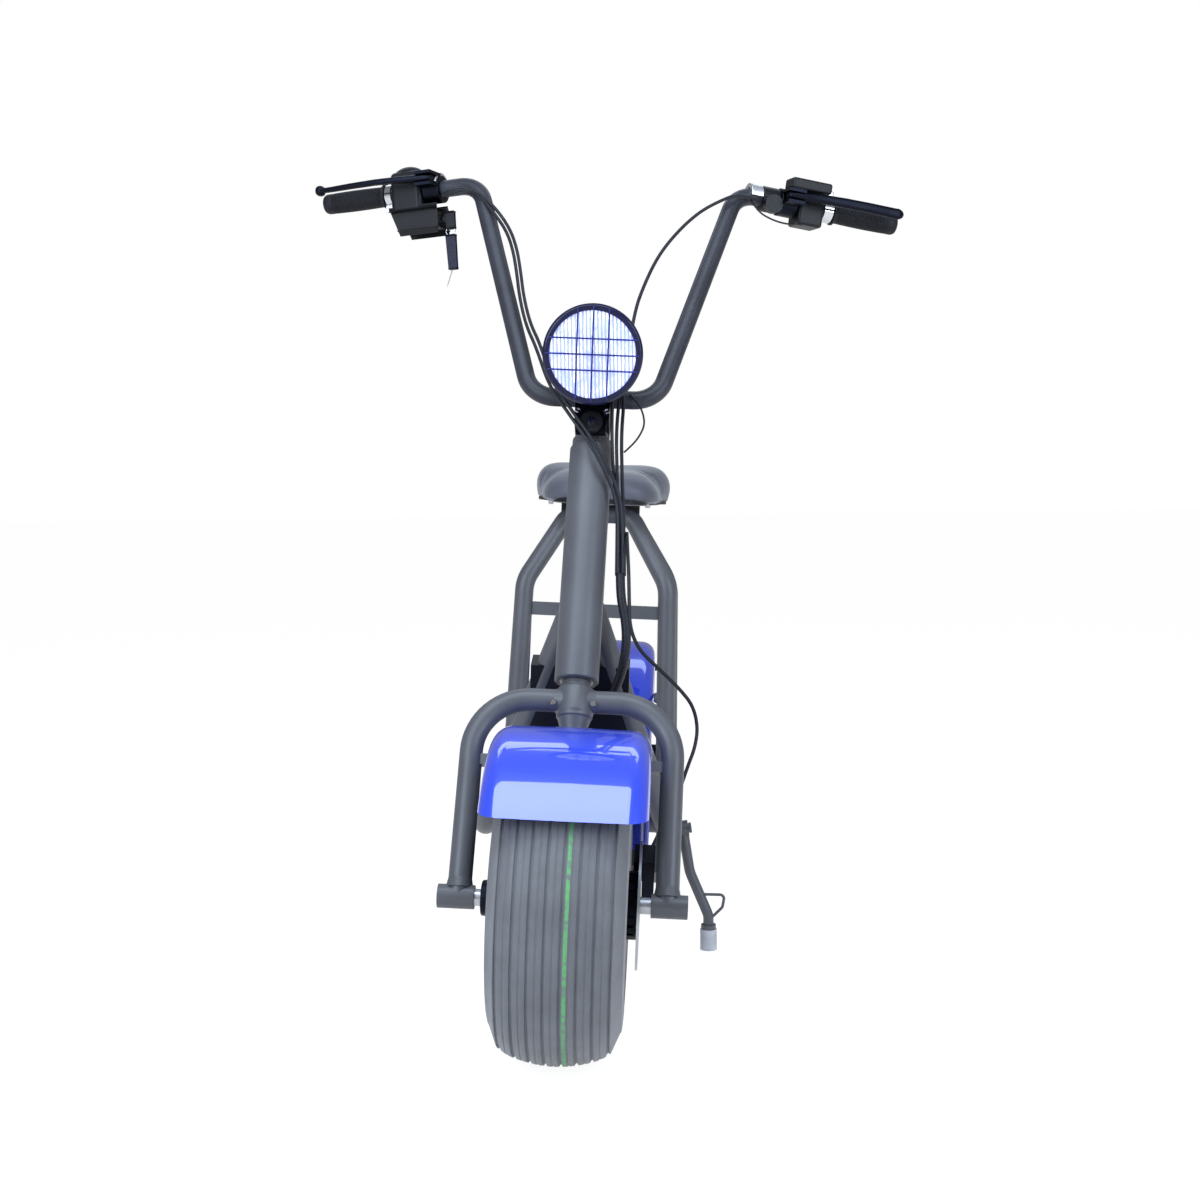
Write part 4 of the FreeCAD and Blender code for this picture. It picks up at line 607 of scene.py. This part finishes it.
def ring_shape(side, middle, radius, wire):
    """A split ring that hangs in the bar's length and height, in millimetres."""
    def build(shape):
        bmesh.ops.create_circle(shape, radius=wire / 1000, segments=12)
        bmesh.ops.translate(shape, vec=(radius / 1000, 0, 0), verts=shape.verts)
        bmesh.ops.spin(
            shape, geom=[*shape.verts, *shape.edges], cent=(0, 0, 0), axis=(0, 1, 0), angle=math.tau, steps=40,
            use_merge=True,
        )
        out, back, up = middle
        bmesh.ops.translate(shape, vec=Vector((side * out, back, up)) / 1000, verts=shape.verts)
    return build


class SCOOTER_OT_controls(bpy.types.Operator):
    """Shaped brake levers, key with its fob, and bright clamp bands"""
    bl_idname = "scooter.controls"
    bl_label = "Controls"

    def execute(self, context):
        for name, side, maker, slot, finish_name, old in control_pieces():
            piece = new_piece(name, maker, "fork", (finish_name,), on_bar(side, 0))
            if old:
                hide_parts(old)
        return {"FINISHED"}


def control_pieces():
    """Each control piece: name, side, shape, slot, finish and the node that it replaces."""
    right, left = -1, 1
    silver = ("steel_silver", "silver", None)
    return (
        ("brake_lever_right", right, lofted(right, lever_rings(right)), "dark_alloy", "dark_alloy", "brake_levers"),
        ("brake_lever_left", left, lofted(left, lever_rings(left)), "dark_alloy", "dark_alloy", "brake_levers"),
        ("perch_band_right", right, band(right, 70, 96, 23, 28, 20, 160), *silver),
        ("horn_band_left", left, band(left, 20, 41, 14.3, 22, 0, 200), *silver),
        ("collar_lug_left", left, rounded_block(left, (156, -9, 17), (172, 8, 34), 2.5), *silver),
        ("collar_lug_right", right, rounded_block(right, (160, -9, -28), (172, 7, -17), 2.5), *silver),
        (
            "key_switch_body", right, rounded_block(right, (80, -22, -66), (150, 19, -34), 9, 0.4),
            "black_plastic", "black", "key_switch",
        ),
        ("key_barrel", right, lofted(right, KEY_BARREL, 32, 2), "chrome", "chrome", None),
        (
            "key_bow", right, rounded_block(right, (52, -3, -66), (68, 3, -41), 2.9, 0.25),
            "black_plastic", "black", "key",
        ),
        ("fob_ring", right, ring_shape(right, (58.5, 0, -72), 8.5, 0.9), "chrome", "chrome", "key_fob"),
        (
            "fob_tag", right, rounded_block(right, (52, -3, -134), (65, 3, -80), 2.9, 0.05),
            "tag_plastic", "tag", "key_fob",
        ),
        ("fob_blade", right, lofted(right, FOB_BLADE, 12), "steel_silver", "steel", "key_fob"),
    )


# Small fasteners

def bolt_shape(radius, high):
    """A round bolt head standing on Z = 0, chamfered, with a socket."""
    profile = (
        (0, 0), (0, radius), (high * 0.8, radius), (high, radius * 0.88), (high, radius * 0.5),
        (high * 0.45, radius * 0.46), (high * 0.45, 0),
    )
    return spun(profile, 28, upright=True)


def facing(origin, way):
    """Frame at origin whose Z looks along way."""
    return Matrix.Translation(origin) @ Vector(way).to_track_quat("Z", "Y").to_matrix().to_4x4()


# Stout sleeve round the stem root: (up the axis, radius)
ROOT_SLEEVE = (
    (0.2700, 0), (0.2700, 0.0245), (0.2716, 0.0262), (0.2722, 0.0268), (0.3160, 0.0268), (0.3170, 0.0262),
    (0.3190, 0.0222), (0.3270, 0.0216), (0.3270, 0.0200),
)
# Bolts in the steering frame: name, place, the way they face, radius and height
STEERING_BOLTS = (
    ("root_bolt_right", (-0.031, -0.0172, 0.2905), (0, -1, -0.35), 0.0042, 0.0035),
    ("root_bolt_left", (0.027, -0.0172, 0.2905), (0, -1, -0.35), 0.0042, 0.0035),
    ("clamp_face_right", (-0.022, -0.046, 0.760), (0, -1, 0), 0.0048, 0.0038),
    ("clamp_face_left", (0.0225, -0.046, 0.760), (0, -1, 0), 0.0048, 0.0038),
)
# Footboard bolts: left and back from under the front axle, and the board's height
DECK_BOLTS = ((-0.14, 0.43), (0.14, 0.43), (-0.14, 0.83), (0.14, 0.83))
DECK_HIGH = 0.281


class SCOOTER_OT_fasteners(bpy.types.Operator):
    """Bright bolts on the clamp, the fork root and the footboard"""
    bl_idname = "scooter.fasteners"
    bl_label = "Fasteners"

    def execute(self, context):
        for name, place, way, radius, high in STEERING_BOLTS:
            spot = STEERING @ facing(Vector(place), way)
            new_piece(name, bolt_shape(radius, high), "fork", ("chrome",), spot)
        sleeve = spun(ROOT_SLEEVE, upright=True)
        new_piece("root_sleeve", sleeve, "fork", ("powder",), STEERING)
        for index, (left, back) in enumerate(DECK_BOLTS):
            place = GROUND @ Matrix.Translation((left, back, DECK_HIGH))
            head = bolt_shape(0.0065, 0.003)
            new_piece("deck_bolt_%d" % index, head, "frame", ("steel",), place)
        return {"FINISHED"}


# Wiring, along the routes of the CAD cables in metres: the bar's and the hose's points are told in
# the steering frame, the sheath's upright

BAR_CABLES = (
    ("right_brake", 0.0055, (
        (-0.276, 0.006, 1.192), (-0.229, -0.022, 1.197), (-0.188, -0.022, 1.143), (-0.161, -0.026, 1.102),
        (-0.1465, -0.03, 1.061), (-0.137, -0.031, 1.016), (-0.129, -0.033, 0.969),
        (-0.1145, -0.037, 0.915), (-0.095, -0.044, 0.872), (-0.069, -0.058, 0.795),
        (-0.034, -0.062, 0.744), (0.01, -0.056, 0.684), (0.045, -0.024, 0.626), (0.05, -0.009, 0.565),
        (0.0529, -0.005, 0.505))),
    ("right_throttle", 0.0055, (
        (-0.277, 0.002, 1.185), (-0.227, -0.025, 1.1905), (-0.1825, -0.024, 1.147),
        (-0.155, -0.027, 1.105), (-0.14, -0.031, 1.063), (-0.1305, -0.032, 1.017),
        (-0.1225, -0.034, 0.971), (-0.108, -0.039, 0.918), (-0.0885, -0.046, 0.876),
        (-0.064, -0.061, 0.799), (-0.029, -0.064, 0.748), (0.015, -0.058, 0.688), (0.0505, -0.027, 0.629),
        (0.0575, -0.009, 0.567), (0.0601, -0.005, 0.505))),
    ("left_controls", 0.0055, (
        (0.256, 0, 1.19), (0.228, -0.027, 1.196), (0.172, -0.03, 1.163), (0.1398, -0.032, 1.132),
        (0.1085, -0.032, 1.09), (0.0873, -0.035, 1.049), (0.07, -0.036, 0.999), (0.058, -0.039, 0.951),
        (0.051, -0.044, 0.87), (0.041, -0.045, 0.79), (0.039, -0.042, 0.725), (0.044, -0.022, 0.66),
        (0.0475, 0.002, 0.586), (0.0506, 0.0019, 0.505))),
    ("lamp_supply", 0.0055, (
        (0.031, -0.055, 0.8), (0.031, -0.051, 0.76), (0.033, -0.046, 0.715), (0.038, -0.016, 0.66),
        (0.052, 0.009, 0.586), (0.0565, 0.0062, 0.505))),
    ("lamp_switch", 0.0055, (
        (0.044, -0.056, 0.815), (0.049, -0.046, 0.785), (0.047, -0.04, 0.725), (0.0515, -0.018, 0.66),
        (0.058, 0.003, 0.586), (0.0624, 0.0019, 0.505))),
    ("loose_loop", 0.003, (
        (0.057, -0.0362, 0.798), (0.0704, -0.04, 0.782), (0.0798, -0.042, 0.7606),
        (0.0824, -0.042, 0.7415), (0.0762, -0.041, 0.724), (0.066, -0.038, 0.709),
        (0.0526, -0.0334, 0.697))),
    ("switch_wire", 0.003, (
        (0.238, -0.0058, 1.1977), (0.25, -0.022, 1.16), (0.275, -0.03, 1.138), (0.2995, -0.027, 1.133),
        (0.318, -0.01, 1.146), (0.328, 0.031, 1.172))),
)
HOSE_ROUTE = (
    (0.0629, -0.0015, 0.575), (0.066, -0.022, 0.535), (0.07, -0.038, 0.49), (0.073, -0.042, 0.44),
    (0.076, -0.04, 0.402), (0.091, -0.03, 0.372), (0.127, -0.005, 0.349), (0.153, 0.02, 0.333),
    (0.1745, 0.042, 0.3155), (0.1835, 0.056, 0.286), (0.18, 0.058, 0.254), (0.171, 0.058, 0.227),
    (0.16, 0.063, 0.19), (0.139, 0.072, 0.142), (0.12, 0.072, 0.096),
)
SHEATH_ROUTE = (
    (0.0565, 0.229, 0.6745), (0.058, 0.2134, 0.6438), (0.068, 0.2064, 0.608), (0.071, 0.2012, 0.5714),
    (0.066, 0.2098, 0.531), (0.054, 0.2297, 0.495), (0.04, 0.2515, 0.4655),
)

# Diameter of the sheath, and radius, wire and pitch of the bead wound round it
SHEATH_DIA = 0.0142
WRAP_RADIUS, WRAP_WIRE, WRAP_PITCH = 0.0068, 0.0016, 0.0062
HOSE_DIA = 0.0055


def cable_mesh(shape, points, diameter, sides=10):
    """Adds a round cable on a smooth NURBS line through the route."""
    data = bpy.data.curves.new("route", "CURVE")
    data.dimensions = "3D"
    data.bevel_depth = diameter / 2
    data.bevel_resolution = sides // 2 - 2
    data.use_fill_caps = True
    spline = data.splines.new("NURBS")
    spline.points.add(len(points) - 1)
    for spot, place in zip(spline.points, points):
        spot.co = (*place, 1)
    spline.order_u = 3
    spline.use_endpoint_u = True
    spline.resolution_u = 9
    holder = bpy.data.objects.new("route", data)
    bpy.context.collection.objects.link(holder)
    bpy.context.view_layer.update()
    mesh = bpy.data.meshes.new_from_object(holder)
    shape.from_mesh(mesh)
    data.bevel_depth = 0
    bpy.context.view_layer.update()
    line = bpy.data.meshes.new_from_object(holder)
    centres = [vert.co.copy() for vert in line.vertices]
    bpy.data.objects.remove(holder)
    bpy.data.meshes.remove(mesh)
    bpy.data.meshes.remove(line)
    return centres


def wrap_mesh(shape, centres, radius, wire, pitch):
    """A spiral wrap: a thin bead wound along the line at a fixed pitch."""
    runs = [0.0]
    for first, second in zip(centres, centres[1:]):
        runs.append(runs[-1] + (second - first).length)
    side = Vector((1, 0, 0))
    points = []
    count = int(runs[-1] / pitch) * 10
    index = 0
    for step in range(count + 1):
        run = runs[-1] * step / count
        while index < len(runs) - 2 and runs[index + 1] < run:
            index += 1
        share = (run - runs[index]) / max(1e-9, runs[index + 1] - runs[index])
        middle = centres[index].lerp(centres[index + 1], share)
        ahead = (centres[index + 1] - centres[index]).normalized()
        side = (side - ahead * side.dot(ahead)).normalized()
        turn = math.tau * step / 10
        points.append(middle + (side * math.cos(turn) + ahead.cross(side) * math.sin(turn)) * radius)
    cable_mesh(shape, points, wire, 8)


class SCOOTER_OT_wiring(bpy.types.Operator):
    """Control cables, lamp wires, wrapped sheath and brake hose"""
    bl_idname = "scooter.wiring"
    bl_label = "Wiring"

    def execute(self, context):
        def bundle(shape):
            for name, diameter, points in BAR_CABLES:
                cable_mesh(shape, [STEERING @ Vector(point) for point in points], diameter)
            centres = cable_mesh(shape, [GROUND @ Vector(point) for point in SHEATH_ROUTE], SHEATH_DIA, 14)
            wrap_mesh(shape, centres, WRAP_RADIUS, WRAP_WIRE, WRAP_PITCH)

        def bend(piece):
            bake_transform(piece)

        piece = new_piece("control_cables", bundle, None, ("cable",))
        bend(piece)
        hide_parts("wiring_upper", "wiring_lower")

        def hose(shape):
            cable_mesh(shape, [STEERING @ Vector(point) for point in HOSE_ROUTE], HOSE_DIA)

        piece = new_piece("brake_hose", hose, None, ("cable",))
        bend(piece)
        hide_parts("front_brake_hose")
        return {"FINISHED"}


# Saddle

SADDLE_PLACE = (0, 0.850, 0.7755)
SADDLE_HALF_LONG = 0.157
# Half widths at the bottom and the top, and the height: (nose, what the tail adds)
SADDLE_BOTTOM, SADDLE_TOP, SADDLE_HIGH = (0.124, 0.014), (0.104, 0.036), (0.056, 0.018)
SADDLE_ROUNDING = 3.2
SADDLE_DISH = 0.012
SADDLE_SWELL = 0.006
STUD_PLACE = (0.088, 0.735, 0.7735)


def saddle_shape(shape):
    """A crowned cushion: a low rounded nose and a broad raised tail with two soft lobes."""
    bmesh.ops.create_cube(shape, size=2.0)
    bmesh.ops.subdivide_edges(shape, edges=shape.edges, cuts=13, use_grid_fill=True)
    power = SADDLE_ROUNDING
    for vert in shape.verts:
        x, y, high = vert.co.x, vert.co.y, (vert.co.z + 1) / 2
        most = max(abs(x), abs(y), high)
        total = abs(x) ** power + abs(y) ** power + high ** power
        shrink = (most ** power / total) ** (1 / power)
        x, y, high = x * shrink, y * shrink, high * shrink
        tail = min(1, max(0, (y + 0.35) / 0.75))
        tail = tail * tail * (3 - 2 * tail)
        tuck = 1 - 0.06 * (1 - high) ** 2
        dish = SADDLE_DISH * (1 - min(1, x * x)) ** 2 * high * (0.35 + 0.65 * tail)
        bottom, top, rise = (nose + more * tail for nose, more in (SADDLE_BOTTOM, SADDLE_TOP, SADDLE_HIGH))
        half_wide = bottom * (1 - high) + top * high
        vert.co = Vector((x * half_wide * tuck, y * SADDLE_HALF_LONG * tuck, high * rise - dish))


def swollen(piece, most):
    """Lets the cover swell like cloth over foam, then keeps the shape it took."""
    voxels = piece.modifiers.new("voxels", "REMESH")
    voxels.mode = "VOXEL"
    voxels.voxel_size = 0.005
    keep_shape(piece)
    rest = [vert.co.copy() for vert in piece.data.vertices]
    cover = piece.modifiers.new("cover", "CLOTH")
    cover.settings.use_pressure = True
    cover.settings.uniform_pressure_force = 4
    cover.settings.effector_weights.gravity = 0
    scene = bpy.context.scene
    for step in range(1, 21):
        scene.frame_set(step)
    keep_shape(piece)
    scene.frame_set(1)
    for vert, before in zip(piece.data.vertices, rest):
        move = vert.co - before
        vert.co = before + move * min(1, most / max(1e-9, move.length))
    piece.data.shade_smooth()


def keep_shape(piece):
    """Replaces the mesh by what its modifiers make of it."""
    shown = piece.evaluated_get(bpy.context.evaluated_depsgraph_get())
    mesh = bpy.data.meshes.new_from_object(shown)
    old = piece.data
    piece.modifiers.clear()
    mesh.name = old.name
    piece.data = mesh
    bpy.data.meshes.remove(old)


class SCOOTER_OT_saddle(bpy.types.Operator):
    """Padded saddle in place of its plain solid"""
    bl_idname = "scooter.saddle"
    bl_label = "Saddle"

    def execute(self, context):
        place = GROUND @ Matrix.Translation(SADDLE_PLACE)
        piece = new_piece("saddle_cushion", saddle_shape, "frame", ("saddle",), place, 180)
        swollen(piece, SADDLE_SWELL)
        round_over = piece.modifiers.new("foam", "SUBSURF")
        round_over.levels = 1
        round_over.render_levels = 1
        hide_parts("saddle")
        for label, side in (("right", -1), ("left", 1)):
            spot = GROUND @ facing(Vector(STUD_PLACE) * Vector((side, 1, 1)), (0, 0, -1))
            head = bolt_shape(0.0045, 0.006)
            new_piece("saddle_stud_" + label, head, "frame", ("steel",), spot)
        return {"FINISHED"}


# Finishes of the CAD pieces

class SCOOTER_OT_finishes(bpy.types.Operator):
    """Gives every carried CAD piece its real finish"""
    bl_idname = "scooter.finishes"
    bl_label = "Finishes"

    def execute(self, context):
        make_finishes()
        for finish_name, nodes in NODE_FINISH.items():
            for node in nodes:
                item = bpy.data.objects[node]
                for slot in item.material_slots:
                    slot.material = FINISHES[finish_name]
        return {"FINISHED"}


# Stage

class SCOOTER_OT_stage(bpy.types.Operator):
    """White floor, soft studio light and the camera"""
    bl_idname = "scooter.stage"
    bl_label = "Stage"

    def execute(self, context):
        scene = context.scene
        scene.view_settings.view_transform = "Standard"
        floor = new_floor()
        for name, place, target, size, radiance in SOFTBOXES:
            softbox(name, Vector(place), Vector(target), size, radiance)
        pale_world(scene)
        photo_camera(scene)
        return {"FINISHED"}


def new_floor():
    mesh = bpy.data.meshes.new("floor")
    shape = bmesh.new()
    bmesh.ops.create_grid(shape, x_segments=1, y_segments=1, size=30)
    shape.to_mesh(mesh)
    shape.free()
    floor = bpy.data.objects.new("floor", mesh)
    bpy.context.collection.objects.link(floor)
    material, tree, shader = new_material("white_studio_floor")
    shader.inputs["Base Color"].default_value = from_hex("#f4f4f6")
    shader.inputs["Roughness"].default_value = 0.9
    path = add_node(tree, "ShaderNodeLightPath")
    seen = add_node(
        tree, "ShaderNodeMath",
        {0: path.outputs["Is Camera Ray"], 1: path.outputs["Is Glossy Ray"]}, operation="MAXIMUM",
    )
    share = add_node(tree, "ShaderNodeMath", {0: seen.outputs[0], 1: FLOOR_SHARE}, operation="MULTIPLY")
    white = add_node(tree, "ShaderNodeEmission", {"Color": (1, 1, 1, 1), "Strength": FLOOR_WHITE})
    mixed = {0: share.outputs[0], 1: shader.outputs[0], 2: white.outputs[0]}
    blend = add_node(tree, "ShaderNodeMixShader", mixed)
    tree.links.new(blend.outputs[0], tree.nodes["Material Output"].inputs["Surface"])
    mesh.materials.append(material)
    return floor


# Strength of the floor's white and its share; the rest of the floor's look keeps the scooter's shadow
FLOOR_WHITE = 1.24
FLOOR_SHARE = 0.74
# Level of the world as a light; the camera sees it white
WORLD_LEVEL = 0.3
# The photograph's camera: place from under the front axle in metres, turn in degrees, lens in millimetres
CAMERA_PLACE = (0.16507, -2.33217, 0.82506)
CAMERA_TURN = (85.244, 0.685, 2.006)
CAMERA_LENS = 50.63
CAMERA_SHIFT = (-0.0068, 0.0116)
# Softboxes: place, target, width and height in metres, and radiance
SOFTBOXES = (
    ("overhead_box", (-0.25, -1.25, 2.55), (-0.25, -1.2499, 0), (1.9, 1.4), 5.2),
    ("front_left_box", (-1.9, -3.1, 2.0), (0, -0.4, 0.6), (1.8, 2.0), 7.5),
    ("front_right_box", (2.3, -2.2, 1.7), (0, -0.3, 0.6), (1.3, 2.0), 6.5),
    ("rear_strip", (0, 1.6, 2.9), (0, -0.6, 0.4), (3.2, 0.7), 3.0),
)
LIGHT_TINT = (0.74, 0.85, 1.0)


def softbox(name, place, target, size, radiance):
    lamp = bpy.data.lights.new(name, "AREA")
    lamp.shape = "RECTANGLE"
    lamp.size, lamp.size_y = size
    lamp.energy = radiance * math.pi * size[0] * size[1]
    lamp.color = LIGHT_TINT
    item = bpy.data.objects.new(name, lamp)
    item.location = place
    item.rotation_euler = (target - place).to_track_quat("-Z", "Y").to_euler()
    bpy.context.collection.objects.link(item)


def pale_world(scene):
    world = bpy.data.worlds.new("studio")
    scene.world = world
    world.use_nodes = True
    tree = world.node_tree
    back = tree.nodes["Background"]
    back.inputs["Color"].default_value = (1, 1, 1, 1)
    path = add_node(tree, "ShaderNodeLightPath")
    seen = add_node(
        tree, "ShaderNodeMath",
        {0: path.outputs["Is Camera Ray"], 1: path.outputs["Is Transmission Ray"]}, operation="MAXIMUM",
    )
    levels = {"Value": seen.outputs[0], "To Min": WORLD_LEVEL, "To Max": 1.0}
    level = add_node(tree, "ShaderNodeMapRange", levels)
    tree.links.new(level.outputs["Result"], back.inputs["Strength"])


def photo_camera(scene):
    """The photograph's view: low in front, a little to the scooter's left."""
    camera = bpy.data.cameras.new("photo_camera")
    camera.lens = CAMERA_LENS
    camera.sensor_width = 36
    camera.shift_x, camera.shift_y = CAMERA_SHIFT
    item = bpy.data.objects.new("photo_camera", camera)
    item.location = GROUND.translation + Vector(CAMERA_PLACE)
    item.rotation_euler = [math.radians(turn) for turn in CAMERA_TURN]
    bpy.context.collection.objects.link(item)
    scene.camera = item


# Panel and registration

class SCOOTER_PT_panel(bpy.types.Panel):
    bl_idname = "SCOOTER_PT_panel"
    bl_label = "Scooter"
    bl_space_type = "VIEW_3D"
    bl_region_type = "UI"
    bl_category = "Scooter"

    def draw(self, context):
        for kind in OPERATORS:
            self.layout.operator(kind.bl_idname)


OPERATORS = (
    SCOOTER_OT_finishes, SCOOTER_OT_tyres, SCOOTER_OT_grips, SCOOTER_OT_controls, SCOOTER_OT_fasteners,
    SCOOTER_OT_wiring, SCOOTER_OT_saddle, SCOOTER_OT_stage,
)
CLASSES = (ScooterTyreSizes, ScooterColours) + OPERATORS + (SCOOTER_PT_panel,)


def register():
    for kind in CLASSES:
        bpy.utils.register_class(kind)
    bpy.types.Scene.scooter_tyres = bpy.props.PointerProperty(type=ScooterTyreSizes)
    bpy.types.Scene.scooter_colours = bpy.props.PointerProperty(type=ScooterColours)


def unregister():
    del bpy.types.Scene.scooter_colours
    del bpy.types.Scene.scooter_tyres
    for kind in reversed(CLASSES):
        bpy.utils.unregister_class(kind)


def main():
    register()
    bpy.ops.scooter.finishes()
    bpy.ops.scooter.tyres()
    bpy.ops.scooter.grips()
    bpy.ops.scooter.controls()
    bpy.ops.scooter.fasteners()
    bpy.ops.scooter.wiring()
    bpy.ops.scooter.saddle()
    bpy.ops.scooter.stage()


if __name__ == "__main__":
    main()
